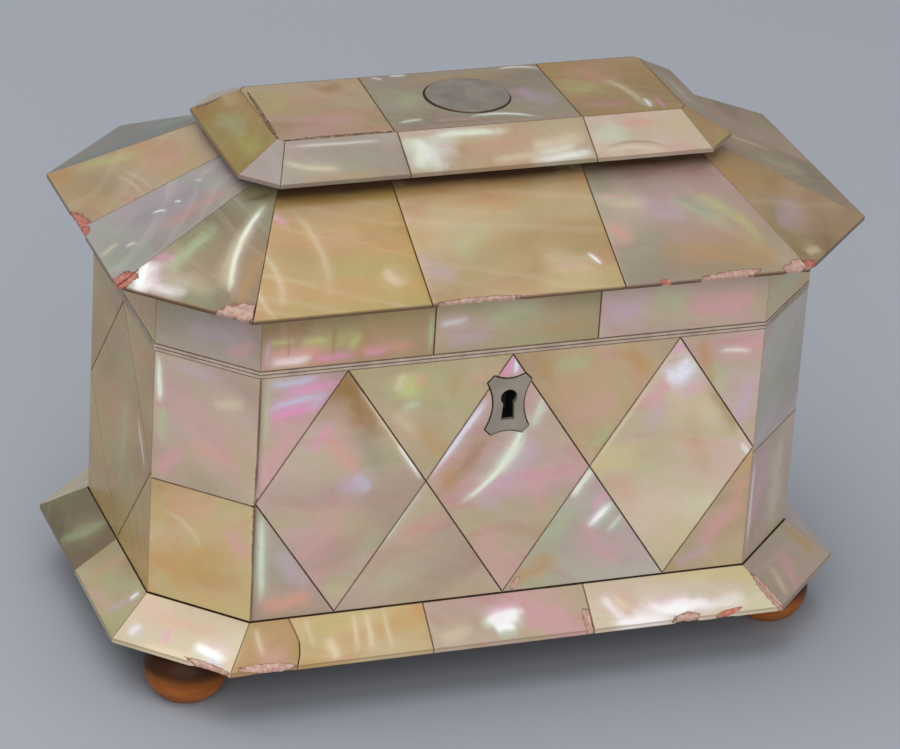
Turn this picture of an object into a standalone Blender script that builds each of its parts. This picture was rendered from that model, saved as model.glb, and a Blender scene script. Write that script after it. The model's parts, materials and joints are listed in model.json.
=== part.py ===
"""Octagonal tea caddy covered with mother-of-pearl, on a sloping plinth and four turned feet.

Metres, +Z up. The origin is on the ground under the middle of the box. The front, with the key
plate, faces -Y, and +X is to the right of someone who looks at the front.
"""

import math
from collections import namedtuple

import bmesh
import bpy
from mathutils import Matrix, Vector

# Body, measured over the pearl
BODY_HALF_WIDTH = 0.084
BODY_HALF_DEPTH = 0.048
BODY_CORNER_CUT = 0.020
BODY_HEIGHT = 0.0652

# Plinth and feet
PLINTH_OVERHANG_X = 0.0105
PLINTH_OVERHANG_Y = 0.010
PLINTH_CORNER_CUT = 0.023
PLINTH_HEIGHT = 0.0088
FOOT_HEIGHT = 0.0143
FOOT_RADIUS = 0.0103
FOOT_TOP_RADIUS = 0.0070
FOOT_BASE_RADIUS = 0.0062
FOOT_INSET_X = 0.018
FOOT_INSET_Y = 0.0202
FRONT_RIGHT_FOOT_SHIFT = (0.0019, 0.0048)

# Lid: a frieze as wide as the body, an eave that hangs over it and a roof under a flat cap
FRIEZE_HEIGHT = 0.0176
EAVE_OVERHANG_X = 0.011
EAVE_OVERHANG_Y = 0.010
EAVE_CORNER_CUT = 0.0255
ROOF_HEIGHT = 0.0198
ROOF_TOP_HALF_WIDTH = 0.0549
ROOF_TOP_HALF_DEPTH = 0.0205
ROOF_TOP_CORNER_CUT = 0.0026
CAP_OVERHANG = 0.0078
CAP_CORNER_CUT = 0.008
CAP_HEIGHT = 0.0071
CAP_TOP_HALF_WIDTH = 0.052
CAP_TOP_HALF_DEPTH = 0.017
CAP_TOP_CORNER_CUT = 0.0016

# Wood and pearl
WALL = 0.0065
FLOOR = 0.0050
LID_WALL = 0.0060
LID_CEILING = 0.0075
PEARL = 0.0009
RIM_THICKNESS = 0.0006
LID_GAP = 0.0003
CLEARANCE = 0.0003
MITRE_GAP = 0.0003
JOINT_WIDTH = 0.00025
JOINT_DEPTH = 0.00045
JOINT_DEPTH_STEP = 0.00003

# Where plaques meet, as shares of the body's half width
FRIEZE_JOINTS = (-0.253, 0.243)
ROOF_JOINTS = (-0.310, 0.264)
CAP_JOINTS = (-0.267, 0.295)
PLINTH_JOINTS = (-0.645, -0.240, 0.255)
FRONT_DIAMONDS = 3
SIDE_DIAMONDS = 1

# Key plate and top disc
KEY_PLATE_X = -0.0015
KEY_PLATE_BELOW_LID = 0.0135
KEY_PLATE_HALF_WIDTH = 0.0056
KEY_PLATE_HALF_HEIGHT = 0.0079
KEY_PLATE_TIP = 0.0017
KEY_PLATE_SIDE_CURVE = 0.0017
KEY_PLATE_END_CURVE = 0.0010
PLATE_PROUD = 0.0002
KEYHOLE_RADIUS = 0.0021
KEYHOLE_RISE = 0.0019
KEYHOLE_SLOT_TOP = 0.0028
KEYHOLE_SLOT_FOOT = 0.0034
KEYHOLE_SLOT_DROP = 0.0059
KEYHOLE_DEPTH = 0.0045
DISC_RADIUS = 0.0104
DISC_X = 0.0015
DISC_Y = 0.0010

# Hinges, let into the rims at the back
HINGE_FROM_CORNER = 0.024
HINGE_LENGTH = 0.020
HINGE_LEAF_DEPTH = 0.0060
HINGE_KNUCKLES = 5
KNUCKLE_RADIUS = 0.0014
KNUCKLE_GAP = 0.0002
PIN_RADIUS = 0.0006
PIN_CLEARANCE = 0.0001

# How finely round pieces are cut
FOOT_PROFILE_STEPS = 12
FOOT_SIDES = 28
ARC_STEPS = 6
KEYHOLE_STEPS = 18
DISC_SIDES = 48
KNUCKLE_SIDES = 20
CUT_MARGIN = 0.002

FACES = ("front", "front_right", "right", "back_right", "back", "back_left", "left", "front_left")
LONG_FACES = ("front", "back")
END_FACES = ("right", "left")

Outline = namedtuple("Outline", "half_x half_y cut z")
Face = namedtuple("Face", "origin along up normal")


# Outlines: rectangles with their corners cut at 45 degrees, each at a height


def corners(outline):
    """The eight corners, anticlockwise from above, starting at the left end of the front."""
    long_x = outline.half_x - outline.cut
    long_y = outline.half_y - outline.cut
    points = [
        (-long_x, -outline.half_y),
        (long_x, -outline.half_y),
        (outline.half_x, -long_y),
        (outline.half_x, long_y),
        (long_x, outline.half_y),
        (-long_x, outline.half_y),
        (-outline.half_x, long_y),
        (-outline.half_x, -long_y),
    ]
    return [Vector((x, y, outline.z)) for x, y in points]


def at_height(outline, z):
    return outline._replace(z=z)


def inset(outline, depth):
    """Moves all eight sides inwards by the same depth."""
    return Outline(
        outline.half_x - depth,
        outline.half_y - depth,
        outline.cut - depth * (2 - math.sqrt(2)),
        outline.z,
    )


def on_slope(lower, upper, z):
    """The outline at height z on the slopes that join two outlines."""
    share = (z - lower.z) / (upper.z - lower.z)
    mixed = [low + (high - low) * share for low, high in zip(lower[:3], upper[:3])]
    return Outline(*mixed, z)


def thickness_down(lower, upper, thickness):
    """A thickness square to the front slope, measured straight down."""
    run = lower.half_y - upper.half_y
    rise = upper.z - lower.z
    return thickness * math.hypot(run, rise) / run


def under_slope(lower, upper, z, depth):
    """The outline at height z of the slopes moved straight down by depth."""
    return at_height(on_slope(lower, upper, z + depth), z)


# The stack of heights and outlines, from the ground up

plinth_low = FOOT_HEIGHT
body_low = plinth_low + PLINTH_HEIGHT
body_high = body_low + BODY_HEIGHT
case_rim_high = body_high + RIM_THICKNESS
lid_rim_low = case_rim_high + LID_GAP
frieze_low = lid_rim_low + RIM_THICKNESS
eave_low = frieze_low + FRIEZE_HEIGHT
roof_high = eave_low + ROOF_HEIGHT
cap_high = roof_high + CAP_HEIGHT

body = Outline(BODY_HALF_WIDTH, BODY_HALF_DEPTH, BODY_CORNER_CUT, body_low)
body_core = inset(body, PEARL + CLEARANCE)
well = inset(body_core, WALL)

plinth_foot = Outline(
    BODY_HALF_WIDTH + PLINTH_OVERHANG_X, BODY_HALF_DEPTH + PLINTH_OVERHANG_Y, PLINTH_CORNER_CUT, plinth_low
)
PLINTH_PEARL = thickness_down(plinth_foot, body, PEARL)
plinth_edge = at_height(plinth_foot, plinth_low + PLINTH_PEARL)

eave = Outline(BODY_HALF_WIDTH + EAVE_OVERHANG_X, BODY_HALF_DEPTH + EAVE_OVERHANG_Y, EAVE_CORNER_CUT, eave_low)
roof_top = Outline(ROOF_TOP_HALF_WIDTH, ROOF_TOP_HALF_DEPTH, ROOF_TOP_CORNER_CUT, roof_high)
ROOF_PEARL = thickness_down(eave, roof_top, PEARL)
eave_edge = at_height(eave, eave_low + ROOF_PEARL)

cap_foot = Outline(
    ROOF_TOP_HALF_WIDTH + CAP_OVERHANG, ROOF_TOP_HALF_DEPTH + CAP_OVERHANG, CAP_CORNER_CUT, roof_high
)
cap_top = Outline(CAP_TOP_HALF_WIDTH, CAP_TOP_HALF_DEPTH, CAP_TOP_CORNER_CUT, cap_high)
CAP_PEARL = thickness_down(cap_foot, cap_top, PEARL)
cap_edge = at_height(cap_foot, roof_high + CAP_PEARL)
cap_core_high = cap_high - PEARL - CLEARANCE

hinge_x = BODY_HALF_WIDTH - BODY_CORNER_CUT - HINGE_FROM_CORNER
hinge_y = BODY_HALF_DEPTH + CLEARANCE + KNUCKLE_RADIUS
hinge_z = case_rim_high + LID_GAP / 2


# Scene, collections and materials


def clear_scene():
    for obj in list(bpy.data.objects):
        bpy.data.objects.remove(obj, do_unlink=True)


def new_collection(name):
    collection = bpy.data.collections.new(name)
    bpy.context.scene.collection.children.link(collection)
    return collection


def material(name, colour, roughness, metallic=0.0):
    mat = bpy.data.materials.new(name)
    mat.use_nodes = True
    shader = mat.node_tree.nodes["Principled BSDF"]
    shader.inputs["Base Color"].default_value = (*colour, 1.0)
    shader.inputs["Roughness"].default_value = roughness
    shader.inputs["Metallic"].default_value = metallic
    return mat


clear_scene()
caddy = new_collection("mother_of_pearl_tea_caddy")
cutters = new_collection("cutters")
cutters.hide_render = True
carcass_wood = material("carcass_wood", (0.30, 0.15, 0.07), 0.60)
foot_wood = material("foot_wood", (0.45, 0.17, 0.05), 0.35)
pearl = material("mother_of_pearl", (0.66, 0.55, 0.42), 0.22)
pewter = material("silver_grey_metal", (0.47, 0.44, 0.40), 0.42, 0.9)
string_white = material("light_string", (0.63, 0.55, 0.44), 0.45)
brass = material("brass", (0.60, 0.42, 0.16), 0.35, 1.0)


# Making objects


def add_object(name, mesh, collection=caddy, mat=None):
    obj = bpy.data.objects.new(name, mesh)
    collection.objects.link(obj)
    if mat is not None:
        mesh.materials.append(mat)
    if collection is cutters:
        obj.hide_render = True
        obj.display_type = "WIRE"
    return obj


def finish_mesh(name, bm):
    bmesh.ops.recalc_face_normals(bm, faces=bm.faces)
    mesh = bpy.data.meshes.new(name)
    bm.to_mesh(mesh)
    bm.free()
    return mesh


def loft(name, rings, collection=caddy, mat=None):
    """A closed solid through rings of equally many points, with flat ends."""
    bm = bmesh.new()
    layers = [[bm.verts.new(point) for point in ring] for ring in rings]
    count = len(layers[0])
    for lower, upper in zip(layers, layers[1:]):
        for i in range(count):
            j = (i + 1) % count
            bm.faces.new((lower[i], lower[j], upper[j], upper[i]))
    bm.faces.new(layers[0][::-1])
    bm.faces.new(layers[-1])
    return add_object(name, finish_mesh(name, bm), collection, mat)


def prism(name, outline, low, high, collection=caddy, mat=None):
    rings = [corners(at_height(outline, z)) for z in (low, high)]
    return loft(name, rings, collection, mat)


def box(name, low, high, collection=caddy, mat=None):
    """A box primitive between two opposite corners."""
    bm = bmesh.new()
    bmesh.ops.create_cube(bm, size=1.0)
    size = Vector(high) - Vector(low)
    middle = (Vector(high) + Vector(low)) / 2
    bmesh.ops.transform(bm, matrix=Matrix.Translation(middle) @ Matrix.Diagonal((*size, 1.0)), verts=bm.verts)
    return add_object(name, finish_mesh(name, bm), collection, mat)


def rod(name, radius, start, end, sides, collection=caddy, mat=None):
    """A cylinder primitive between two points."""
    bm = bmesh.new()
    axis = Vector(end) - Vector(start)
    bmesh.ops.create_cone(
        bm, cap_ends=True, segments=sides, radius1=radius, radius2=radius, depth=axis.length
    )
    turn = Vector((0, 0, 1)).rotation_difference(axis).to_matrix().to_4x4()
    middle = (Vector(start) + Vector(end)) / 2
    bmesh.ops.transform(bm, matrix=Matrix.Translation(middle) @ turn, verts=bm.verts)
    obj = add_object(name, finish_mesh(name, bm), collection, mat)
    obj.data.shade_smooth()
    obj.data.set_sharp_from_angle(angle=math.radians(40))
    return obj


def front_plate(name, points, near, far, collection=caddy, mat=None):
    """A flat outline in X and Z, standing upright between two values of Y."""
    curve = bpy.data.curves.new(name, "CURVE")
    curve.dimensions = "2D"
    curve.fill_mode = "BOTH"
    curve.extrude = abs(far - near) / 2
    spline = curve.splines.new("POLY")
    spline.points.add(len(points) - 1)
    for point, (x, z) in zip(spline.points, points):
        point.co = (x, z, 0.0, 1.0)
    spline.use_cyclic_u = True
    drawn = bpy.data.objects.new(name + "_outline", curve)
    cutters.objects.link(drawn)
    drawn.matrix_world = Matrix.Translation((0, (near + far) / 2, 0)) @ Matrix.Rotation(math.radians(90), 4, "X")
    bpy.context.view_layer.update()
    mesh = bpy.data.meshes.new_from_object(drawn.evaluated_get(bpy.context.evaluated_depsgraph_get()))
    place = drawn.matrix_world.copy()
    bpy.data.objects.remove(drawn)
    bm = bmesh.new()
    bm.from_mesh(mesh)
    bpy.data.meshes.remove(mesh)
    bmesh.ops.remove_doubles(bm, verts=bm.verts, dist=1e-6)
    obj = add_object(name, finish_mesh(name, bm), collection, mat)
    obj.matrix_world = place
    return obj


def combine(obj, other, operation="DIFFERENCE"):
    modifier = obj.modifiers.new(operation.lower() + "_" + other.name, "BOOLEAN")
    modifier.operation = operation
    modifier.solver = "EXACT"
    modifier.object = other


# Veneer: one sheet for each flat face, with its plaque joints cut into it as fine grooves


def face_corners(lower, upper, index):
    """Lower left, lower right, upper right and upper left corners, with half a mitre gap at each side."""
    low = corners(lower)
    high = corners(upper)
    following = (index + 1) % len(FACES)
    along = (low[following] - low[index]).normalized() * (MITRE_GAP / 2)
    return [low[index] + along, low[following] - along, high[following] - along, high[index] + along]


def face_frame(quad):
    """Axes on a face: the middle of its lower edge, along it, up it and outwards."""
    along = (quad[1] - quad[0]).normalized()
    normal = along.cross(quad[3] - quad[0]).normalized()
    return Face((quad[0] + quad[1]) / 2, along, normal.cross(along), normal)


def face_height(quad):
    frame = face_frame(quad)
    return (quad[3] - quad[0]).dot(frame.up)


def sheet(name, outer, inner):
    return loft(name, [inner, outer], caddy, pearl)


def groove(obj, frame, start, end, number):
    """Cuts one plaque joint between two points given along and up the face.

    Every second joint is a hair deeper, so that crossing joints have no floor in one plane.
    """
    first = frame.origin + frame.along * start[0] + frame.up * start[1]
    last = frame.origin + frame.along * end[0] + frame.up * end[1]
    direction = (last - first).normalized()
    length = (last - first).length + 2 * CUT_MARGIN
    name = f"{obj.name}_joint_{number}"
    depth = JOINT_DEPTH + number % 2 * JOINT_DEPTH_STEP
    half = Vector((length / 2, JOINT_WIDTH / 2, depth))
    cutter = box(name, -half, half, cutters)
    turn = Matrix((direction, frame.normal.cross(direction), frame.normal)).transposed().to_4x4()
    cutter.matrix_world = Matrix.Translation((first + last) / 2) @ turn
    combine(obj, cutter)


def diamond_joints(quad, count):
    """Straight joints that cross to make a row of whole diamonds as high as the face.

    The diamonds' points lie half a joint inside the sheet's edges.
    """
    margin = JOINT_WIDTH / 2
    width = (quad[1] - quad[0]).length - 2 * margin
    top = face_height(quad) - margin
    pitch = width / count
    lines = []
    for k in range(-1, count):
        foot = -width / 2 + pitch * (k + 0.5)
        lines.append(((foot, margin), (foot + pitch, top)))
        lines.append(((foot + pitch, margin), (foot, top)))
    return lines


def upright_joints(quad, shares):
    height = face_height(quad)
    return [((share * BODY_HALF_WIDTH, 0.0), (share * BODY_HALF_WIDTH, height)) for share in shares]


def middle_joint(quad):
    height = face_height(quad)
    return [((0.0, 0.0), (0.0, height))]


def level_joint(quad):
    width = (quad[1] - quad[0]).length
    height = face_height(quad)
    return [((-width / 2, height / 2), (width / 2, height / 2))]


def seen_from_outside(shares, name):
    """Joint places run along +X, so they change sign on the back, which is seen the other way round."""
    return shares if name == "front" else [-share for share in shares]


def band(prefix, outer, inner, joints):
    """The eight sheets between two outer outlines; joints gives the plaque joints of a face."""
    made = {}
    for index, name in enumerate(FACES):
        quad = face_corners(*outer, index)
        obj = sheet(f"{prefix}_{name}_pearl", quad, face_corners(*inner, index))
        for number, (start, end) in enumerate(joints(name, quad), start=1):
            groove(obj, face_frame(quad), start, end, number)
        made[name] = obj
    return made


def body_joints(name, quad):
    if name in LONG_FACES:
        return diamond_joints(quad, FRONT_DIAMONDS)
    if name in END_FACES:
        return diamond_joints(quad, SIDE_DIAMONDS)
    return level_joint(quad)


def long_face_joints(shares, ends):
    """Upright joints on front and back, and one in the middle of each end if asked for."""

    def joints(name, quad):
        if name in LONG_FACES:
            return upright_joints(quad, seen_from_outside(shares, name))
        if name in END_FACES and ends:
            return middle_joint(quad)
        return []

    return joints


def upright_band(prefix, low, high, joints):
    outer = [at_height(body, z) for z in (low, high)]
    inner = [inset(outline, PEARL) for outline in outer]
    return band(prefix, outer, inner, joints)


def sloping_band(prefix, lower, upper, drop, joints):
    """Sheets on a slope, with upright edges: the inner side is the outer one moved down."""
    outer = [lower, upper]
    inner = [at_height(outline, outline.z - drop) for outline in outer]
    return band(prefix, outer, inner, joints)


# Case: hollow box, its rim, and the veneer round it


def make_case():
    case = prism("case", body_core, body_low, body_high - CLEARANCE, caddy, carcass_wood)
    case_rim = prism("case_rim", body, body_high, case_rim_high, caddy, string_white)
    well_cutter = prism("well_cutter", well, body_low + FLOOR, case_rim_high + CUT_MARGIN, cutters)
    combine(case, well_cutter)
    combine(case_rim, well_cutter)
    return case, case_rim


def make_plinth():
    depth = PLINTH_PEARL + CLEARANCE
    top = body_low - CLEARANCE
    rings = [corners(under_slope(plinth_edge, body, z, depth)) for z in (plinth_low, top)]
    return loft("plinth", rings, caddy, carcass_wood)


def foot_profile(height):
    """Down the outer side of a squat bun that is cut flat above and below."""
    top_angle = math.acos(FOOT_TOP_RADIUS / FOOT_RADIUS)
    base_angle = -math.acos(FOOT_BASE_RADIUS / FOOT_RADIUS)
    half_height = height / (math.sin(top_angle) - math.sin(base_angle))
    middle = -half_height * math.sin(base_angle)
    points = [(0.0, height)]
    for step in range(FOOT_PROFILE_STEPS + 1):
        angle = top_angle + (base_angle - top_angle) * step / FOOT_PROFILE_STEPS
        points.append((FOOT_RADIUS * math.cos(angle), middle + half_height * math.sin(angle)))
    points.append((0.0, 0.0))
    return points


def make_foot(name, x, y):
    points = foot_profile(plinth_low - CLEARANCE)
    mesh = bpy.data.meshes.new(name)
    edges = [(i, i + 1) for i in range(len(points) - 1)]
    mesh.from_pydata([(radius, 0.0, z) for radius, z in points], edges, [])
    foot = add_object(name, mesh, caddy, foot_wood)
    foot.location = (x, y, 0.0)
    screw = foot.modifiers.new("turn", "SCREW")
    screw.axis = "Z"
    screw.steps = FOOT_SIDES
    screw.render_steps = FOOT_SIDES
    screw.use_merge_vertices = True
    screw.merge_threshold = 0.00001
    return foot


def make_feet():
    """One foot under each corner; the front right one was fixed a little out of line."""
    x = plinth_foot.half_x - FOOT_INSET_X
    y = plinth_foot.half_y - FOOT_INSET_Y
    shift_x, shift_y = FRONT_RIGHT_FOOT_SHIFT
    places = {
        "front_left": (-x, -y),
        "front_right": (x + shift_x, -y + shift_y),
        "back_left": (-x, y),
        "back_right": (x, y),
    }
    for name, (foot_x, foot_y) in places.items():
        make_foot(f"{name}_foot", foot_x, foot_y)


# Lid: hollow frame with frieze, eave and roof in one, its rim, and the cap


def make_lid():
    depth = ROOF_PEARL + CLEARANCE
    top = roof_high - CLEARANCE
    frieze_core = [corners(at_height(body_core, z)) for z in (frieze_low + CLEARANCE, eave_low)]
    roof_core = [corners(under_slope(eave_edge, roof_top, z, depth)) for z in (eave_low, top)]
    lid = loft("lid", frieze_core + roof_core, caddy, carcass_wood)
    lid_rim = prism("lid_rim", body, lid_rim_low, frieze_low, caddy, string_white)
    hollow = make_lid_hollow(depth)
    combine(lid, hollow)
    combine(lid_rim, hollow)
    return lid, lid_rim


def make_lid_hollow(depth):
    """Upright inside the frieze, then parallel to the roof up to a flat ceiling."""
    depth += thickness_down(eave_edge, roof_top, LID_WALL)
    ceiling_z = roof_high - LID_CEILING
    ceiling = under_slope(eave_edge, roof_top, ceiling_z, depth)
    fall = (eave_edge.half_y - roof_top.half_y) / (roof_top.z - eave_edge.z)
    spring_z = ceiling_z - (well.half_y - ceiling.half_y) / fall
    rings = [
        corners(at_height(well, lid_rim_low - CUT_MARGIN)),
        corners(at_height(well, spring_z)),
        corners(ceiling),
    ]
    return loft("lid_hollow_cutter", rings, cutters)


def make_cap():
    depth = CAP_PEARL + CLEARANCE
    rings = [corners(under_slope(cap_edge, cap_top, z, depth)) for z in (roof_high, cap_core_high)]
    return loft("cap", rings, caddy, carcass_wood)


def make_cap_top():
    """The flat sheet on the cap, in three plaques, with a round hole for the disc."""
    outline = inset(cap_top, MITRE_GAP)
    top = prism("cap_top_pearl", outline, cap_high - PEARL, cap_high, caddy, pearl)
    frame = Face(Vector((0, 0, cap_high)), Vector((1, 0, 0)), Vector((0, 1, 0)), Vector((0, 0, 1)))
    for number, share in enumerate(CAP_JOINTS, start=1):
        x = share * BODY_HALF_WIDTH
        groove(top, frame, (x, -outline.half_y), (x, outline.half_y), number)
    centre = Vector((DISC_X, DISC_Y, 0))
    below = Vector((0, 0, cap_core_high - CUT_MARGIN))
    above = Vector((0, 0, cap_high + CUT_MARGIN))
    hole = rod("disc_cutter", DISC_RADIUS + CLEARANCE, centre + below, centre + above, DISC_SIDES, cutters)
    combine(top, hole)
    seat = Vector((0, 0, cap_high - PEARL))
    face = Vector((0, 0, cap_high + PLATE_PROUD))
    rod("top_disc", DISC_RADIUS, centre + seat, centre + face, DISC_SIDES, caddy, pewter)


# Key plate and keyhole


def bowed(start, end, depth):
    """Points from start towards end on an arc that dips towards the plate's middle by depth."""
    chord = Vector(end) - Vector(start)
    middle = (Vector(start) + Vector(end)) / 2
    inwards = -middle.normalized()
    points = []
    for step in range(ARC_STEPS):
        share = step / ARC_STEPS
        dip = depth * (1 - (2 * share - 1) ** 2)
        points.append(Vector(start) + chord * share + inwards * dip)
    return points


def key_plate_outline(grow=0.0):
    """Eight points: concave top, bottom and sides, with the four corners cut off straight."""
    wide = KEY_PLATE_HALF_WIDTH + grow
    high = KEY_PLATE_HALF_HEIGHT + grow
    tip = KEY_PLATE_TIP
    points = []
    points += bowed((wide, -high + tip), (wide, high - tip), KEY_PLATE_SIDE_CURVE)
    points += [Vector((wide, high - tip))]
    points += bowed((wide - tip, high), (-wide + tip, high), KEY_PLATE_END_CURVE)
    points += [Vector((-wide + tip, high))]
    points += bowed((-wide, high - tip), (-wide, -high + tip), KEY_PLATE_SIDE_CURVE)
    points += [Vector((-wide, -high + tip))]
    points += bowed((-wide + tip, -high), (wide - tip, -high), KEY_PLATE_END_CURVE)
    points += [Vector((wide - tip, -high))]
    return placed_on_front(points)


def keyhole_outline():
    """A circle that runs down into a slot, a little wider at its foot."""
    shoulder = math.asin(KEYHOLE_SLOT_TOP / 2 / KEYHOLE_RADIUS)
    sweep = 2 * (math.pi - shoulder)
    points = []
    for step in range(KEYHOLE_STEPS + 1):
        angle = -math.pi / 2 + shoulder + sweep * step / KEYHOLE_STEPS
        points.append(Vector((KEYHOLE_RADIUS * math.cos(angle), KEYHOLE_RADIUS * math.sin(angle))))
    points.append(Vector((-KEYHOLE_SLOT_FOOT / 2, -KEYHOLE_SLOT_DROP)))
    points.append(Vector((KEYHOLE_SLOT_FOOT / 2, -KEYHOLE_SLOT_DROP)))
    return placed_on_front([point + Vector((0, KEYHOLE_RISE)) for point in points])


def placed_on_front(points):
    middle = Vector((KEY_PLATE_X, body_high - KEY_PLATE_BELOW_LID))
    return [tuple(point + middle) for point in points]


def make_key_plate(case, front_pearl):
    outside = -BODY_HALF_DEPTH - PLATE_PROUD
    plate = front_plate("key_plate", key_plate_outline(), -BODY_HALF_DEPTH + PEARL, outside, caddy, pewter)
    bed = front_plate(
        "key_plate_bed_cutter",
        key_plate_outline(CLEARANCE),
        -BODY_HALF_DEPTH + PEARL + CLEARANCE / 2,
        outside - CUT_MARGIN,
        cutters,
    )
    combine(front_pearl, bed)
    keyhole = front_plate(
        "keyhole_cutter", keyhole_outline(), -body_core.half_y + KEYHOLE_DEPTH, outside - CUT_MARGIN, cutters
    )
    combine(plate, keyhole)
    combine(case, keyhole)


# Hinges: two leaves that fill notches in the rims, knuckles proud of the back, and a pin


def hinge_leaf(name, x, low, high, first_knuckle):
    """A leaf whose own knuckles are every second one, counted from first_knuckle."""
    edge = hinge_y - KNUCKLE_RADIUS - KNUCKLE_GAP
    front = BODY_HALF_DEPTH - HINGE_LEAF_DEPTH
    start = x - HINGE_LENGTH / 2
    leaf = box(name, (start, front, low), (start + HINGE_LENGTH, edge, high), caddy, brass)
    pitch = HINGE_LENGTH / HINGE_KNUCKLES
    for number in range(first_knuckle, HINGE_KNUCKLES, 2):
        near = start + number * pitch + (KNUCKLE_GAP / 2 if number > 0 else 0)
        far = start + (number + 1) * pitch - (KNUCKLE_GAP / 2 if number < HINGE_KNUCKLES - 1 else 0)
        web = box(f"{name}_web_{number}", (near, edge - CUT_MARGIN, low), (far, hinge_y, high), cutters)
        knuckle = rod(
            f"{name}_knuckle_{number}",
            KNUCKLE_RADIUS,
            (near, hinge_y, hinge_z),
            (far, hinge_y, hinge_z),
            KNUCKLE_SIDES,
            cutters,
        )
        combine(leaf, web, "UNION")
        combine(leaf, knuckle, "UNION")
    bore = rod(
        name + "_bore",
        PIN_RADIUS + PIN_CLEARANCE,
        (start - CUT_MARGIN, hinge_y, hinge_z),
        (start + HINGE_LENGTH + CUT_MARGIN, hinge_y, hinge_z),
        KNUCKLE_SIDES,
        cutters,
    )
    combine(leaf, bore)
    return leaf


def make_hinge(side, x, case_rim, lid_rim):
    hinge_leaf(f"{side}_hinge_case_leaf", x, body_high, case_rim_high, 0)
    hinge_leaf(f"{side}_hinge_lid_leaf", x, lid_rim_low, frieze_low, 1)
    half = HINGE_LENGTH / 2
    rod(
        f"{side}_hinge_pin",
        PIN_RADIUS,
        (x - half, hinge_y, hinge_z),
        (x + half, hinge_y, hinge_z),
        KNUCKLE_SIDES,
        caddy,
        brass,
    )
    notch = box(
        f"{side}_hinge_notch",
        (x - half - CLEARANCE, BODY_HALF_DEPTH - HINGE_LEAF_DEPTH - CLEARANCE, body_high - CLEARANCE),
        (x + half + CLEARANCE, BODY_HALF_DEPTH + CUT_MARGIN, frieze_low + CLEARANCE),
        cutters,
    )
    combine(case_rim, notch)
    combine(lid_rim, notch)


def make_veneer():
    """All the pearl but the cap's top, from the plinth up; returns the body's front sheet."""
    upper = on_slope(plinth_edge, body, body_low - MITRE_GAP / 2)
    sloping_band("plinth", plinth_edge, upper, PLINTH_PEARL, long_face_joints(PLINTH_JOINTS, True))
    sheets = upright_band("body", body_low + MITRE_GAP / 2, body_high - CLEARANCE, body_joints)
    frieze_joints = long_face_joints(FRIEZE_JOINTS, False)
    upright_band("frieze", frieze_low + CLEARANCE, eave_low - CLEARANCE, frieze_joints)
    upper = on_slope(eave_edge, roof_top, roof_high - CLEARANCE)
    sloping_band("roof", eave_edge, upper, ROOF_PEARL, long_face_joints(ROOF_JOINTS, True))
    sloping_band("cap", cap_edge, cap_top, CAP_PEARL, long_face_joints(CAP_JOINTS, False))
    return sheets["front"]


def build():
    case, case_rim = make_case()
    make_plinth()
    make_feet()
    lid, lid_rim = make_lid()
    make_cap()
    front_pearl = make_veneer()
    make_cap_top()
    make_key_plate(case, front_pearl)
    make_hinge("left", -hinge_x, case_rim, lid_rim)
    make_hinge("right", hinge_x, case_rim, lid_rim)


build()
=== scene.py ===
"""Looks of the octagonal mother-of-pearl tea caddy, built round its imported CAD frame.

Metres, +Z up. The front, with the key plate, faces -Y, and +X is to the right of someone who looks
at it. Places on a face are given in millimetres: u runs along the face from the middle of its lower
edge, to the right of someone outside, and v runs up the face.
"""

import json
import math
import random
from collections import namedtuple

import bmesh
import bpy
import numpy as np
from mathutils import Matrix, Vector, geometry, noise

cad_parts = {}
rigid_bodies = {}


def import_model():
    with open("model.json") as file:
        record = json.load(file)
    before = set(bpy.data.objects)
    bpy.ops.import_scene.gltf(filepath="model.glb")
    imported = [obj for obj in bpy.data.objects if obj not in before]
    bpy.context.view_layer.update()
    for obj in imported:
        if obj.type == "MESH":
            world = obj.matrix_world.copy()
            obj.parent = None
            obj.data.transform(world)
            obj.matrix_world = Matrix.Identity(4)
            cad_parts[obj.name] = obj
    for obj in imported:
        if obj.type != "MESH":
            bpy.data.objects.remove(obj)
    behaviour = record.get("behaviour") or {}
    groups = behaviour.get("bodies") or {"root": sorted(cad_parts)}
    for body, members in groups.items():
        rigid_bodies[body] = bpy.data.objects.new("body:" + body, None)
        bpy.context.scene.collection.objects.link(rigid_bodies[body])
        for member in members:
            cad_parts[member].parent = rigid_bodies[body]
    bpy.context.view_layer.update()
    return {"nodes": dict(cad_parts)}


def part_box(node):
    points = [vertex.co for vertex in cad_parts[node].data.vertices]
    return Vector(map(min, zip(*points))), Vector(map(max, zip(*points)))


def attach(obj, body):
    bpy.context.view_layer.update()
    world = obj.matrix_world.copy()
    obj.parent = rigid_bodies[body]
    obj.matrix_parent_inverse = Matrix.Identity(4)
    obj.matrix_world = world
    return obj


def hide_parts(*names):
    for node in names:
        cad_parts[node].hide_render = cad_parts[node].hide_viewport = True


MM = 0.001

# Camera at the photograph's angle
CAMERA_PLACE = Vector((-0.34715, -0.92411, 0.54524))
CAMERA_RIGHT = Vector((0.943775, -0.325551, 0.057492))
CAMERA_UP = Vector((0.095508, 0.434996, 0.895353))
CAMERA_LENS_MM = 176.14
CAMERA_SENSOR_MM = 36.0

# Studio: each light's place, width, depth and power in watts
LIGHTS = {"overhead": ((-0.3, 0.05, 1.45), 2.0, 1.5, 20), "front": ((-0.6, -2.2, 1.1), 2.6, 2.2, 46.5)}
LIGHT_TARGET = Vector((0, 0, 0.07))
SKY_COLOUR = (0.97, 0.98, 1.0, 1.0)
SKY_STRENGTH = 0.33
FLOOR_REACH = 6.0

# Facets: how close heights on one edge, heights on one face and places on a side lie to each other,
# and the least bend of a corner
SAME_EDGE = 0.1 * MM
SAME_FACE = 0.02 * MM
ON_SIDE = 0.05 * MM
LEAST_BEND = 0.02

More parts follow.
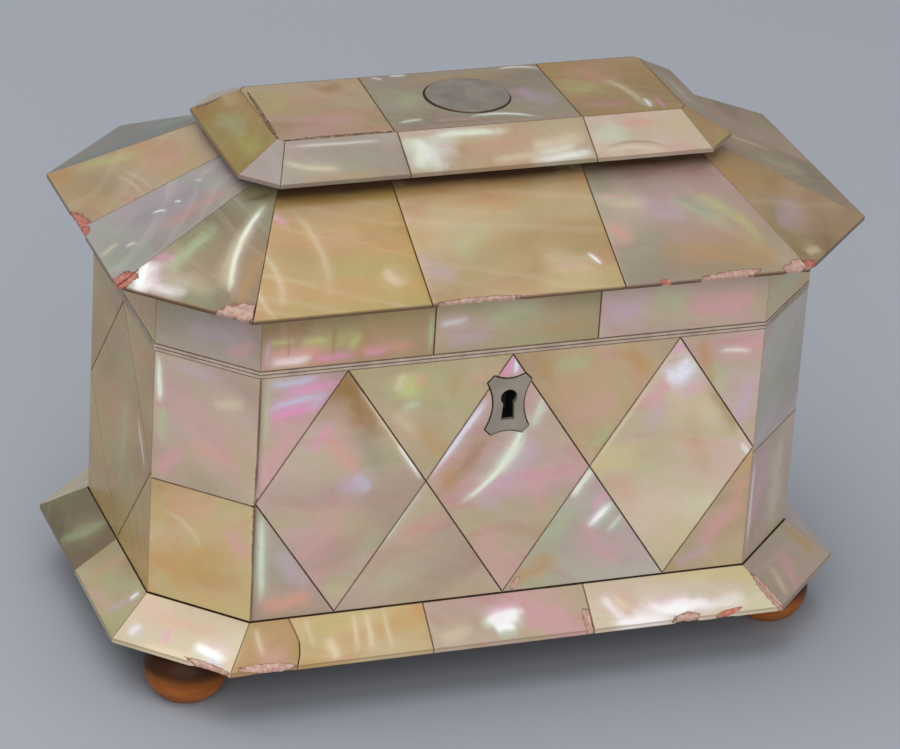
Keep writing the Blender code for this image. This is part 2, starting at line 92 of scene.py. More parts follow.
# Pearl plaques
JOINT = 0.22 * MM
PLAQUE_STEP = 1.2 * MM
EDGE_STEP = 0.7 * MM
EDGE_RINGS = ((0.0, 0.10 * MM), (0.04 * MM, 0.03 * MM), (0.12 * MM, 0.0), (0.22 * MM, 0.0))
SEAM_FILL = 0.1 * MM
PILLOW_WIDTH = 1.6 * MM
PILLOW_DEPTH = 0.04 * MM
WAVE_DEPTH = 0.08 * MM
WAVE_LENGTH = 17 * MM
RIPPLE_DEPTH = 0.03 * MM
RIPPLE_LENGTH = 5 * MM
WORN_EDGE = 0.05 * MM
WORN_LENGTH = 3 * MM
CHIP_DEPTH = 0.4 * MM
CHIP_EDGE_LENGTH = 0.9 * MM
CHIP_EDGE_RAGGED = (0.1, 1.3)
CHIP_FACE_LENGTH = 1.1 * MM
CHIP_FACE_RAGGED = (-0.2, 1.4)
RELIEF_SHIFT = (0.37, 0.11)
GRID_MARGIN = 0.4
WELD = 0.001 * MM
SHARP_ANGLE = math.radians(50)

# The rim value of a slab: 1 at its upper edge, falling over this width, and this much on its sides
RIM_WIDTH = 0.5 * MM
SIDE_RIM = 2.0

# Where plaques meet, in millimetres; a joint is given by places spaced evenly on its way up
DIAMOND_TOPS = (-42.3, -1.1, 41.8)
DIAMOND_FEET = (-42.8, 0.4, 42.5)
DIAMOND_SIDES = ((-64.0, 31.8), (-21.2, 33.0), (20.8, 32.2), (64.0, 32.6))
EQUAL_DIAMONDS = {"back": 3, "left": 1, "right": 1}
TIER_JOINT = 31.0
JOINTS = {
    "plinth": ((-54.7, -53.45, -52.95, -53.5, -54.2), (-20.2, -20.2), (21.4, 21.4)),
    "frieze": ((-21.25, -21.25), (20.4, 20.4)),
    "roof": ((-26.0, -26.0), (22.2, 22.2)),
    "cap": ((-22.4, -22.4), (24.8, 24.8)),
}
CAP_TOP_JOINTS = ((-22.9, -21.3), (24.6, 25.0))
MIDDLE_JOINT = ((0.0, 0.0),)

FACES = ("front", "front_right", "right", "back_right", "back", "back_left", "left", "front_left")
BODY_OF_BAND = {"plinth": "case", "body": "case", "frieze": "lid", "roof": "lid", "cap": "lid"}

# Lightness of the shell, lowered as painted shade on the plinth, roof and cap; dirt on its edges; dirt and
# painted shade on its sides; and its gloss: specular level and coat weight
PAINTED_SHADE_LIGHTNESS = {"plinth": 0.9, "body": 1.0, "frieze": 1.0, "roof": 0.7, "cap": 0.62}
SIDE_STAIN_AND_SHADE = {"plinth": 0.1, "body": 0.8, "frieze": 0.8, "roof": 0.92, "cap": 0.3}
EDGE_STAIN = 0.55
EDGE_DIRT = (112, 84, 58)
SIDE_DIRT_AND_SHADE = (84, 58, 36)
RUBBED_FACES = ("plinth_front_left", "roof_front_left", "cap_front_left", "cap_top")
POLISHED = (0.5, 0.35)
RUBBED = (0.2, 0.08)
COAT_ROUGHNESS = 0.16

# Figure of the shell; the waves are scales of noise, to the metre
ALONG_GRAIN = (0.6, 1.5, 1.0)
BROAD_WAVES = 30.0
CLOUDS = {
    "Cloud One": ((0.31, 0.17, 0.5), 36.0, 0.42, 0.9),
    "Cloud Two": ((0.83, 0.41, 0.9), 42.0, 0.44, 0.85),
}
CLOUD_SOFTNESS = 0.32
PLAY_SHIFT = (0.31, 0.17, 0.5)
PLAY_WAVES = 88.0
PLAY_SHARE = 0.42
PLAY_TINTS = ((0.5, 0.72, (255, 214, 226)), (0.48, 0.26, (232, 255, 222)))
BAND_MIDDLE = (0.02, -0.12, 0.0)
BAND_WARP = 0.012
BAND_WAVES = 330.0
BAND_LIGHT = (236, 228, 216)
BAND_DARK = (140, 112, 82)
GLOSS_WAVES = 150.0
FRAY_WAVES = 130.0
BREAK_WAVES = 700.0
FLECK_WAVES = 800.0

# Plate round the keyhole, round plate in the top, and the beds they lie in
PLATE_TIP = 1.7 * MM
PLATE_SIDE_CURVE = 1.7 * MM
PLATE_END_CURVE = 1.0 * MM
CURVE_STEPS = 14
KEYHOLE_RADIUS = 2.1 * MM
KEYHOLE_RISE = 1.9 * MM
KEYHOLE_SLOT_TOP = 2.8 * MM
KEYHOLE_SLOT_FOOT = 3.4 * MM
KEYHOLE_SLOT_DROP = 5.9 * MM
KEYHOLE_STEPS = 40
BED_GAP = 0.28 * MM
DISC_BED_GAP = 0.4 * MM
DISC_BED_SHIFT = Vector((-0.25 * MM, -0.25 * MM))
DISC_SIDES = 96
CUT_ABOVE = 2 * MM
CUT_DEPTH = 3 * MM
PLATE_STEP = 0.6 * MM
DISC_STEP = 0.8 * MM
METAL_RINGS = ((0.0, 0.12 * MM), (0.04 * MM, 0.03 * MM), (0.12 * MM, 0.0))
METAL_WAVE = 0.03 * MM
METAL_WAVE_LENGTH = 4 * MM

# Feet, whose size comes from the frame, and the heights over which painted shade darkens their tops
FOOT_TOP_SHARE = 0.68
FOOT_BASE_SHARE = 0.60
FOOT_STEPS = 36
FOOT_SIDES = 80
FOOT_SHADE_FROM = 5 * MM
FOOT_SHADE_TO = 9.5 * MM

# Wood of the box: how much of its width is its hollow, and how far the painted shade of the keyhole
# reaches
BODY_CORNER_CUT = 20 * MM
INNER_SHARE = 0.955
OUTER_SHARE = 0.975
KEYHOLE_SHADE_REACH = 8.4 * MM
KEYHOLE_SHADE_REACH_END = 9.0 * MM

# Colours as they look on a screen, 0 to 255; the pairs are dark and light
FLOOR_COLOUR = (154, 158, 166)
PLATE_METAL = ((152, 142, 128), (170, 160, 146))
# the disc's metal is the plate's, darkened as painted shade for the top, where the light falls stronger
SHADED_DISC_METAL = ((124, 116, 106), (146, 137, 126))
METAL_DIRT = (84, 58, 38)
FOOT_WOOD = ((138, 78, 34), (168, 98, 44))
FOOT_SHADE = (40, 24, 16)
# painted shade on the tops of the feet
PLANED_WOOD = ((104, 66, 40), (150, 102, 64))
OLD_GLUE = ((74, 52, 38), (86, 64, 46))
# painted shade in the keyhole
KEYHOLE_SHADE = (14, 11, 10)
STRING = ((166, 148, 130), (190, 172, 154))
BRASS = ((120, 92, 48), (186, 152, 88))

Facet = namedtuple("Facet", "node origin along up normal inward outline height")
Chip = namedtuple("Chip", "u v half_length half_width turn bite kind")
Gleam = namedtuple("Gleam", "u v half_length half_width turn fringe strength sag", defaults=(0.0,))

for leftover in list(bpy.data.objects):
    bpy.data.objects.remove(leftover, do_unlink=True)
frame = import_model()


# Camera, floor and light


def add_object(name, data):
    obj = bpy.data.objects.new(name, data)
    bpy.context.scene.collection.objects.link(obj)
    return obj


def make_camera():
    data = bpy.data.cameras.new("camera")
    data.lens = CAMERA_LENS_MM
    data.sensor_width = CAMERA_SENSOR_MM
    data.clip_end = 10.0
    camera = add_object("camera", data)
    back = CAMERA_RIGHT.cross(CAMERA_UP)
    turn = Matrix((CAMERA_RIGHT, CAMERA_UP, back)).transposed().to_4x4()
    camera.matrix_world = Matrix.Translation(CAMERA_PLACE) @ turn
    bpy.context.scene.camera = camera


def area_light(name, place, width, depth, power):
    data = bpy.data.lights.new(name, "AREA")
    data.shape = "RECTANGLE"
    data.size = width
    data.size_y = depth
    data.energy = power
    light = add_object(name, data)
    light.matrix_world = (LIGHT_TARGET - Vector(place)).to_track_quat("-Z", "Y").to_matrix().to_4x4()
    light.location = place


def make_studio():
    make_camera()
    for name, settings in LIGHTS.items():
        area_light(name, *settings)
    world = bpy.data.worlds.new("studio")
    world.use_nodes = True
    background = world.node_tree.nodes["Background"]
    background.inputs["Color"].default_value = SKY_COLOUR
    background.inputs["Strength"].default_value = SKY_STRENGTH
    bpy.context.scene.world = world
    bpy.context.scene.view_settings.view_transform = "Standard"


def make_floor():
    mesh = bpy.data.meshes.new("floor")
    corners = [(-1, -1, 0), (1, -1, 0), (1, 1, 0), (-1, 1, 0)]
    mesh.from_pydata([Vector(corner) * FLOOR_REACH for corner in corners], [], [(0, 1, 2, 3)])
    mat, nodes, shader = new_material("backdrop_paper")
    nodes.set(shader, {"Base Color": srgb(FLOOR_COLOUR), "Roughness": 0.8, "Specular IOR Level": 0.2})
    mesh.materials.append(mat)
    floor = add_object("floor", mesh)


# Shader nodes


def srgb(colour, share=1.0):
    """A colour given as it looks on a screen, 0 to 255, in the linear values that shaders take."""

    def linear(value):
        part = value / 255
        return part / 12.92 if part <= 0.04045 else ((part + 0.055) / 1.055) ** 2.4

    return (*(linear(value) * share for value in colour), 1.0)


class Nodes:
    """Short ways to add shader nodes to a tree. An input is a value or the socket that feeds it."""

    def __init__(self, tree):
        self.tree = tree

    def set(self, made, inputs):
        for key, value in inputs.items():
            if isinstance(value, bpy.types.NodeSocket):
                self.tree.links.new(value, made.inputs[key])
            else:
                made.inputs[key].default_value = value

    def add(self, kind, inputs=None, **settings):
        made = self.tree.nodes.new("ShaderNode" + kind)
        for key, value in settings.items():
            setattr(made, key, value)
        self.set(made, inputs or {})
        return made.outputs

    def math(self, operation, first, second=0.0):
        return self.add("Math", {0: first, 1: second}, operation=operation)["Value"]

    def times(self, first, second):
        return self.math("MULTIPLY", first, second)

    def plus(self, first, second):
        return self.math("ADD", first, second)

    def minus(self, first, second):
        return self.math("SUBTRACT", first, second)

    def vector(self, operation, first, second):
        return self.add("VectorMath", {0: first, 1: second}, operation=operation)

    def dot(self, first, second):
        return self.vector("DOT_PRODUCT", first, second)["Value"]

    def mapped(self, place, **changes):
        return self.add("Mapping", {"Vector": place} | changes)["Vector"]

    def here(self):
        return self.add("TexCoord")["Object"]

    def rim(self):
        return self.add("Attribute", attribute_name="rim")["Fac"]

    def noise(self, place, scale, detail=2.0, roughness=0.5, distortion=0.0):
        inputs = {"Vector": place, "Scale": scale, "Detail": detail, "Roughness": roughness}
        return self.add("TexNoise", inputs | {"Distortion": distortion})["Fac"]

    def between(self, value, low, high):
        """0 below low, 1 above high, and a smooth step between them."""
        inputs = {"Value": value, "From Min": low, "From Max": high}
        return self.add("MapRange", inputs, interpolation_type="SMOOTHSTEP")["Result"]

    def mix(self, factor, first, second, blend="MIX"):
        return self.add("Mix", {0: factor, 6: first, 7: second}, data_type="RGBA", blend_type=blend)[2]

    def drift(self, cloud, colours, low=0.3, high=0.7):
        """A colour that drifts between a dark and a light one with a noise."""
        return self.mix(self.between(cloud, low, high), srgb(colours[0]), srgb(colours[1]))

    def bump(self, height, strength, distance):
        return self.add("Bump", {"Height": height, "Strength": strength, "Distance": distance})["Normal"]


def new_material(name):
    mat = bpy.data.materials.new(name)
    mat.use_nodes = True
    return mat, Nodes(mat.node_tree), mat.node_tree.nodes["Principled BSDF"]


def new_group(name, inputs, outputs):
    """A node group; returns its nodes, the sockets that bring its inputs in, and its output node."""
    tree = bpy.data.node_groups.new(name, "ShaderNodeTree")
    for in_out, sockets in (("INPUT", inputs), ("OUTPUT", outputs)):
        for socket, kind in sockets.items():
            tree.interface.new_socket(socket, in_out=in_out, socket_type="NodeSocket" + kind)
    return Nodes(tree), tree.nodes.new("NodeGroupInput").outputs, tree.nodes.new("NodeGroupOutput")


# Facets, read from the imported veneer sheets


def turned(first, second):
    """The sine of the turn from one direction to another, times their lengths."""
    return first.x * second.y - first.y * second.x


def hull(points):
    """The corners of the convex outline round points, anticlockwise, without those on a straight side."""
    apart = list({(round(p.x, 6), round(p.y, 6)): p for p in points}.values())
    ring = [apart[i] for i in geometry.convex_hull_2d(apart)]
    kept = []
    for i, point in enumerate(ring):
        before = (point - ring[i - 1]).normalized()
        after = (ring[(i + 1) % len(ring)] - point).normalized()
        if abs(turned(before, after)) > LEAST_BEND:
            kept.append(point)
    return kept


def facet(name):
    """Axes, outline and thickness of the outer face of a veneer sheet."""
    mesh = frame["nodes"][name].data
    middle = sum((vertex.co for vertex in mesh.vertices), Vector()) / len(mesh.vertices)
    outwards = Vector((middle.x, middle.y, 0.0))

    def shows(face):
        return face.normal.z > 0.9 or face.normal.z > -0.1 and face.normal.dot(outwards) > 0

    normal = max(filter(shows, mesh.polygons), key=lambda face: face.area).normal.copy()
    along = Vector((0, 0, 1)).cross(normal)
    along = along.normalized() if along.length > 0.1 else Vector((1, 0, 0))
    up = normal.cross(along)
    levels = [vertex.co.dot(normal) for vertex in mesh.vertices]
    level = max(levels)
    outer = [v.co for v, height in zip(mesh.vertices, levels) if height > level - SAME_FACE]
    outline = hull([Vector((co.dot(along), co.dot(up))) for co in outer])
    low = min(point.y for point in outline)
    high = max(point.y for point in outline)
    foot = [point.x for point in outline if point.y < low + SAME_EDGE]
    corner = Vector(((min(foot) + max(foot)) / 2, low))
    origin = along * corner.x + up * corner.y + normal * level
    thickness = level - min(levels)
    inward = Vector((0, 0, -thickness / normal.z)) if normal.z > 0.1 else -normal * thickness
    return Facet(name, origin, along, up, normal, inward, [p - corner for p in outline], high - low)


def place(face, point, depth):
    """A point on a facet, sunk below its surface by a depth measured along the way in."""
    return face.origin + face.along * point.x + face.up * point.y + face.inward.normalized() * depth


# Outlines of plaques


def side_chains(face):
    """The left and the right side of a facet's outline, each from its lower edge to its upper edge."""
    ring = face.outline
    low = [i for i, p in enumerate(ring) if p.y < SAME_EDGE]
    start = max(low, key=lambda i: ring[i].x)
    ring = ring[start:] + ring[:start]
    high = [i for i, p in enumerate(ring) if p.y > face.height - SAME_EDGE]
    upper_right = max(high, key=lambda i: ring[i].x)
    upper_left = min(high, key=lambda i: ring[i].x)
    return ring[upper_left:][::-1], ring[: upper_right + 1]


def joint_line(face, places):
    steps = len(places) - 1
    return [Vector((at * MM, face.height * k / steps)) for k, at in enumerate(places)]


def strips(face, joints):
    """Plaques side by side, with a joint between each two of them."""
    left, right = side_chains(face)
    lines = [left, *(joint_line(face, places) for places in joints), right]
    return [after + before[::-1] for before, after in zip(lines, lines[1:])]


def mirrored(joints):
    return [tuple(-at for at in places) for places in reversed(joints)]


def tiers(face, at):
    """Two plaques, one above the other, that meet at a height in millimetres."""
    left, right = side_chains(face)
    share = at * MM / face.height
    a = left[0].lerp(left[-1], share)
    b = right[0].lerp(right[-1], share)
    return [[left[0], right[0], b, a], [a, b, right[-1], left[-1]]]


def diamonds(face, tops, feet, sides):
    """A row of diamonds with a triangle between each two of them, above and below."""
    left, right = side_chains(face)
    tops = [Vector((at * MM, face.height)) for at in tops]
    feet = [Vector((at * MM, 0)) for at in feet]
    inner = [Vector((u * MM, v * MM)) for u, v in sides[1:-1]]
    first = Vector((left[0].x, sides[0][1] * MM))
    last = Vector((right[0].x, sides[-1][1] * MM))
    sides = [first, *inner, last]
    row = [[feet[i], sides[i + 1], tops[i], sides[i]] for i in range(len(tops))]
    below = [left[0], *feet, right[0]]
    above = [left[-1], *tops, right[-1]]
    lower = [[below[i], below[i + 1], sides[i]] for i in range(len(sides))]
    upper = [[above[i], sides[i], above[i + 1]] for i in range(len(sides))]
    return row + lower + upper


def equal_diamonds(face, count):
    left, right = side_chains(face)
    width = (right[0].x - left[0].x) / MM
    pitch = width / count
    places = [-width / 2 + pitch * (k + 0.5) for k in range(count)]
    middle = face.height / MM / 2
    sides = [(-width / 2 + pitch * k, middle) for k in range(count + 1)]
    return diamonds(face, places, places, sides)


def plaque_outlines(band, face_name, face):
    """How one facet is cut into plaques."""
    if face_name == "top":
        return strips(face, CAP_TOP_JOINTS)
    if band == "body":
        if face_name == "front":
            return diamonds(face, DIAMOND_TOPS, DIAMOND_FEET, DIAMOND_SIDES)
        if face_name in EQUAL_DIAMONDS:
            return equal_diamonds(face, EQUAL_DIAMONDS[face_name])
        return tiers(face, TIER_JOINT)
    if face_name == "front":
        return strips(face, JOINTS[band])
    if face_name == "back":
        return strips(face, mirrored(JOINTS[band]))
    halved = face_name in ("left", "right") and band in ("plinth", "roof")
    return strips(face, MIDDLE_JOINT if halved else ())


def on_border(point, outline):
    """Whether a point lies on a side of the facet's outline."""
    for i, corner in enumerate(outline):
        side = outline[(i + 1) % len(outline)] - corner
        reach = point - corner
        along = reach.dot(side) / side.length_squared
        if -0.01 < along < 1.01 and abs(turned(side.normalized(), reach)) < ON_SIDE:
            return True
    return False


def edge_gap(face, middle):
    """How far a plaque stays back from a side: half a joint, or less than nothing into a corner seam."""
    if not on_border(middle, face.outline):
        return JOINT / 2
    outermost = face.normal.z > 0.1 and middle.y < SAME_EDGE
    return 0.0 if outermost else -SEAM_FILL


def inset_joints(points, face):
    """Leaves half a joint free between plaques, and closes part of the seam to the next facet."""
    count = len(points)
    gaps = [edge_gap(face, (point + points[(i + 1) % count]) / 2) for i, point in enumerate(points)]
    moved = []
    for i, point in enumerate(points):
        before = (point - points[i - 1]).normalized()
        after = (points[(i + 1) % count] - point).normalized()
        bend = turned(before, after)
        if abs(bend) < 1e-4:
            moved.append(point + Vector((-after.y, after.x)) * gaps[i])
        else:
            moved.append(point + (after * gaps[i - 1] - before * gaps[i]) / bend)
    return moved


# Slabs: closed pieces with rounded upper edges on a facet


def sampled(points, step):
    """Points round an outline, at most a step apart, keeping its corners."""
    found = []
    for i, point in enumerate(points):
        following = points[(i + 1) % len(points)]
        count = max(1, math.ceil((following - point).length / step))
        found += [point.lerp(following, k / count) for k in range(count)]
    return found


def inward_ways(points):
    """For each point of an anticlockwise outline, the way in, evened out over its neighbours."""
    count = len(points)
    ways = []
    for i, point in enumerate(points):
        chord = points[(i + 1) % count] - points[i - 1]
        ways.append(Vector((-chord.y, chord.x)).normalized())
    return [(ways[i - 1] + way * 2 + ways[(i + 1) % count]).normalized() for i, way in enumerate(ways)]


def grown(loop, gap):
    return [point - way * gap for point, way in zip(loop, inward_ways(loop))]


def chip_reach(chip, point):
    """How far a point is from the middle of a chip, where 1 is its edge."""
    turn = math.radians(chip.turn)
    offset = point / MM - Vector((chip.u, chip.v))
    along = (offset.x * math.cos(turn) + offset.y * math.sin(turn)) / chip.half_length
    across = (offset.y * math.cos(turn) - offset.x * math.sin(turn)) / chip.half_width
    return math.hypot(along, across)


def uneven(here, length, low, high):
    """A number from low to high that changes smoothly over a length."""
    return (low + high) / 2 + (high - low) / 2 * noise.noise(here / length)


def worn(points, face, chips):
    """Hand-cut, slightly uneven edges, and broken places where chips says."""
    moved = []
    for point, way in zip(points, inward_ways(points)):
        here = place(face, point, 0.0)
        loss = WORN_EDGE * abs(noise.noise(here / WORN_LENGTH))
        for chip in chips:
            near = chip_reach(chip, point)
            if near < 1.0:
                ragged = uneven(here, CHIP_EDGE_LENGTH, *CHIP_EDGE_RAGGED)
                loss += chip.bite * MM * math.sqrt(1 - near * near) * ragged
        moved.append(point + way * loss)
    return moved


def depth_inside(points, loop):
    """How far each point is from the nearest side of an outline, below zero for those outside it."""
    points = np.array(points, float)[:, None, :]
    a = np.array(loop, float)
    side = np.roll(a, -1, axis=0) - a
    reach = points - a
    share = np.clip((reach * side).sum(2) / (side * side).sum(1), 0.0, 1.0)
    distance = np.linalg.norm(reach - share[..., None] * side, axis=2).min(1)
    a_above = reach[..., 1] < 0
    b_above = reach[..., 1] < side[:, 1]
    rise = np.where(side[:, 1] == 0, 1.0, side[:, 1])
    left_of_side = reach[..., 0] < side[:, 0] * reach[..., 1] / rise
    crossings = ((a_above != b_above) & left_of_side).sum(1)
    return np.where(crossings % 2 == 1, distance, -distance)


def inner_grid(loop, step):
    """Points of a triangular grid inside an outline, with their distances from its edge."""
    low_x, high_x = min(p.x for p in loop), max(p.x for p in loop)
    low_y, high_y = min(p.y for p in loop), max(p.y for p in loop)
    rise = step * math.sqrt(3) / 2
    points = []
    for row in range(int((high_y - low_y) / rise) + 1):
        start = low_x + row % 2 * step / 2
        count = int((high_x - start) / step) + 1
        points += [(start + step * k, low_y + rise * (row + 0.5)) for k in range(count)]
    edges = depth_inside(points, loop)
    return [(Vector(point), edge) for point, edge in zip(points, edges) if edge > step * GRID_MARGIN]


def join_rings(bm, lower, upper):
    for i in range(len(lower)):
        j = (i + 1) % len(lower)
        bm.faces.new((lower[i], lower[j], upper[j], upper[i]))


def cover(bm, ring, inner, tops):
    """Triangles over an outline and the points inside it."""
    flat = [point / MM for point in (*ring, *inner)]
    edges = [(i, (i + 1) % len(ring)) for i in range(len(ring))]
    found = geometry.delaunay_2d_cdt(flat, edges, [], 0, 1e-6)
    points, triangles, sources = found[0], found[2], found[3]
    middles = [sum((points[i] for i in triangle), Vector((0, 0))) / 3 for triangle in triangles]
    inside = depth_inside(middles, flat[: len(ring)])
    for triangle, depth in zip(triangles, inside):
        if depth > 0 and all(sources[i] for i in triangle):
            bm.faces.new([tops[sources[i][0]] for i in triangle])


def slab(name, face, loop, relief, mat, step, rings):
    """A closed piece inside an outline on a facet, with a rounded upper edge and a flat underside."""
    ways = inward_ways(loop)
    bm = bmesh.new()
    rim = bm.verts.layers.float.new("rim")

    def vert(point, depth, edge):
        made = bm.verts.new(place(face, point, depth + relief(point, edge)))
        made[rim] = math.exp(-edge / RIM_WIDTH)
        return made

    base = [bm.verts.new(place(face, point, face.inward.length)) for point in loop]
    for low in base:
        low[rim] = SIDE_RIM
    layers = [base]
    for inset, depth in rings:
        ring = [point + way * inset for point, way in zip(loop, ways)]
        layers.append([vert(point, depth, inset) for point in ring])
    for lower, upper in zip(layers, layers[1:]):
        join_rings(bm, lower, upper)
    bm.faces.new(base[::-1])
    grid = inner_grid(ring, step)
    tops = layers[-1] + [vert(point, 0.0, edge + inset) for point, edge in grid]
    cover(bm, ring, [point for point, edge in grid], tops)
    return finished(name, bm, mat)


def finished(name, bm, mat):
    """Welds, orients and shades a piece, and puts it in the scene."""
    bmesh.ops.remove_doubles(bm, verts=bm.verts, dist=WELD)
    bmesh.ops.recalc_face_normals(bm, faces=bm.faces)
    mesh = bpy.data.meshes.new(name)
    bm.to_mesh(mesh)
    bm.free()
    mesh.materials.append(mat)
    mesh.shade_smooth()
    mesh.set_sharp_from_angle(angle=SHARP_ANGLE)
    return add_object(name, mesh)


def pearl_relief(face, seed, chips):
    """How far the surface of a plaque lies below its facet: rounded off at the edge, gently uneven."""
    shift = Vector((seed * RELIEF_SHIFT[0], seed * RELIEF_SHIFT[1], 0.0))

    def relief(point, edge):
        here = place(face, point, 0.0) + shift
        pillow = PILLOW_DEPTH * max(0.0, 1 - edge / PILLOW_WIDTH) ** 2
        wave = uneven(here, WAVE_LENGTH, 0.0, WAVE_DEPTH)
        ripple = uneven(here, RIPPLE_LENGTH, 0.0, RIPPLE_DEPTH)
        broken = 0.0
        for chip in chips:
            near = chip_reach(chip, point)
            if near < 1.0:
                ragged = uneven(here, CHIP_FACE_LENGTH, *CHIP_FACE_RAGGED)
                broken += CHIP_DEPTH * min(1.0, 3 * (1 - near)) * max(0.0, ragged)
        return pillow + wave + ripple + min(broken, CHIP_DEPTH)

    return relief


# Mother-of-pearl

PATCH_INPUTS = {"Color": "Color"} | dict.fromkeys(("Place", "Middle", "Along", "Across"), "Vector")


def make_shell_group():
    """Cut shell: soft clouds of four colours, drawn out along the grain, with faint growth bands."""
    inputs = {"Place": "Vector", "Grain": "Float", "Bands": "Float"}
    inputs |= dict.fromkeys(("Shade", "Light", "Cloud One", "Cloud Two"), "Color")
    outputs = {"Color": "Color", "Height": "Float", "Roughness": "Float"}
    nodes, given, result = new_group("shell", inputs, outputs)
    rotation = {"Vector": given["Place"], "Angle": given["Grain"]}
    turned_place = nodes.add("VectorRotate", rotation, rotation_type="Z_AXIS")["Vector"]
    drawn_out = nodes.mapped(turned_place, Scale=ALONG_GRAIN)

    broad = nodes.noise(drawn_out, BROAD_WAVES, 2.0, 0.4, 0.3)
    colour = nodes.mix(nodes.between(broad, 0.3, 0.7), given["Shade"], given["Light"])
    for name, (shift, waves, start, share) in CLOUDS.items():
        cloud = nodes.noise(nodes.mapped(drawn_out, Location=shift), waves, 1.5, 0.4, 0.4)
        cloud = nodes.between(cloud, start, start + CLOUD_SOFTNESS)
        colour = nodes.mix(nodes.times(cloud, share), colour, given[name])
    play = nodes.noise(nodes.mapped(drawn_out, Location=PLAY_SHIFT), PLAY_WAVES, 2.0, 0.5, 0.9)
    for start, end, tint in PLAY_TINTS:
        tinted = nodes.mix(1.0, colour, srgb(tint), "MULTIPLY")
        colour = nodes.mix(nodes.times(nodes.between(play, start, end), PLAY_SHARE), colour, tinted)

    from_middle = nodes.vector("DISTANCE", turned_place, BAND_MIDDLE)["Value"]
    warped = nodes.plus(from_middle, nodes.times(broad, BAND_WARP))
    figure = {"W": warped, "Scale": BAND_WAVES, "Detail": 3.0, "Roughness": 0.6}
    bands = nodes.add("TexNoise", figure, noise_dimensions="1D")["Fac"]
    streak = nodes.times(nodes.between(bands, 0.5, 0.75), given["Bands"])
    colour = nodes.mix(streak, colour, srgb(BAND_LIGHT))
    dip = nodes.times(nodes.between(bands, 0.5, 0.25), given["Bands"])
    colour = nodes.mix(nodes.times(dip, 0.5), colour, srgb(BAND_DARK))

    height = nodes.plus(nodes.times(bands, 0.35), broad)
    rough = nodes.plus(nodes.times(nodes.noise(drawn_out, GLOSS_WAVES), 0.16), 0.2)
    nodes.set(result, {"Color": colour, "Height": height, "Roughness": rough})
    return nodes.tree


def patch_reach(nodes, given):
    """How far along and across a patch a place lies, where 1 is the patch's edge."""
    offset = nodes.vector("SUBTRACT", given["Place"], given["Middle"])[0]
    return nodes.dot(offset, given["Along"]), nodes.dot(offset, given["Across"])


def make_gleam_group():
    """One patch painted on the shell, a soft streak or spot with a fringe colour on either side: play of
    colour, painted highlights and glints, and painted shadow.
    """
    inputs = PATCH_INPUTS | dict.fromkeys(("Bend", "Ragged", "Strength"), "Float")
    inputs |= dict.fromkeys(("One Side", "Core", "Other Side"), "Color")
    nodes, given, result = new_group("gleam", inputs, {"Color": "Color"})
    along, across = patch_reach(nodes, given)
    square = nodes.times(along, along)
    across = nodes.plus(across, nodes.times(square, given["Bend"]))
    fray = nodes.minus(nodes.noise(given["Place"], FRAY_WAVES, 3.0, 0.55), 0.5)
    across = nodes.plus(across, nodes.times(fray, given["Ragged"]))

    end = nodes.between(nodes.plus(square, nodes.times(fray, 1.3)), 1.05, 0.0)
    reach = nodes.math("ABSOLUTE", across)
    core = nodes.times(nodes.between(reach, 1.0, 0.0), 0.7)
    halo = nodes.times(nodes.between(reach, 2.6, 0.3), 0.4)
    streaks = nodes.add("CombineXYZ", {"X": along, "Y": nodes.times(across, 1.5)})[0]
    streaks = nodes.plus(nodes.times(nodes.noise(streaks, 1.6), 0.7), 0.62)
    amount = nodes.times(nodes.times(end, nodes.plus(core, halo)), streaks)
    amount = nodes.math("MINIMUM", nodes.times(amount, given["Strength"]), 1.0)

    fringe = nodes.mix(nodes.between(across, -1.5, -0.2), given["One Side"], given["Core"])
    fringe = nodes.mix(nodes.between(across, 0.2, 1.5), fringe, given["Other Side"])
    nodes.set(result, {"Color": nodes.mix(amount, given["Color"], fringe)})
    return nodes.tree


def make_break_group():
    """A broken edge: an uneven patch of another colour with flecks in it and a thin dark outline."""
    inputs = PATCH_INPUTS | dict.fromkeys(("Inside", "Fleck", "Outline"), "Color")
    nodes, given, result = new_group("break", inputs, {"Color": "Color"})
    along, across = patch_reach(nodes, given)
    flat = nodes.add("CombineXYZ", {"X": along, "Y": across})[0]
    reach = nodes.add("VectorMath", {0: flat}, operation="LENGTH")["Value"]
    fray = nodes.minus(nodes.noise(given["Place"], BREAK_WAVES, 3.0, 0.6), 0.5)
    reach = nodes.plus(reach, nodes.times(fray, 1.1))
    flecks = nodes.between(nodes.noise(given["Place"], FLECK_WAVES, 3.0, 0.6), 0.42, 0.62)
    inside = nodes.mix(flecks, given["Inside"], given["Fleck"])
    inside = nodes.mix(nodes.between(reach, 0.82, 0.94), inside, given["Outline"])
    nodes.set(result, {"Color": nodes.mix(nodes.between(reach, 1.06, 0.98), given["Color"], inside)})
    return nodes.tree


SHELL = make_shell_group()
GLEAM = make_gleam_group()
BREAK = make_break_group()


def patch_inputs(colour, flat, patch):
    """Where a patch lies, and the directions along and across it, in which its half sizes measure 1."""
    turn = math.radians(patch.turn)
    along = Vector((math.cos(turn), math.sin(turn), 0)) / (patch.half_length * MM)
    across = Vector((-math.sin(turn), math.cos(turn), 0)) / (patch.half_width * MM)
    middle = (patch.u * MM, patch.v * MM, 0.0)
    return {"Color": colour, "Place": flat, "Middle": middle, "Along": along, "Across": across}


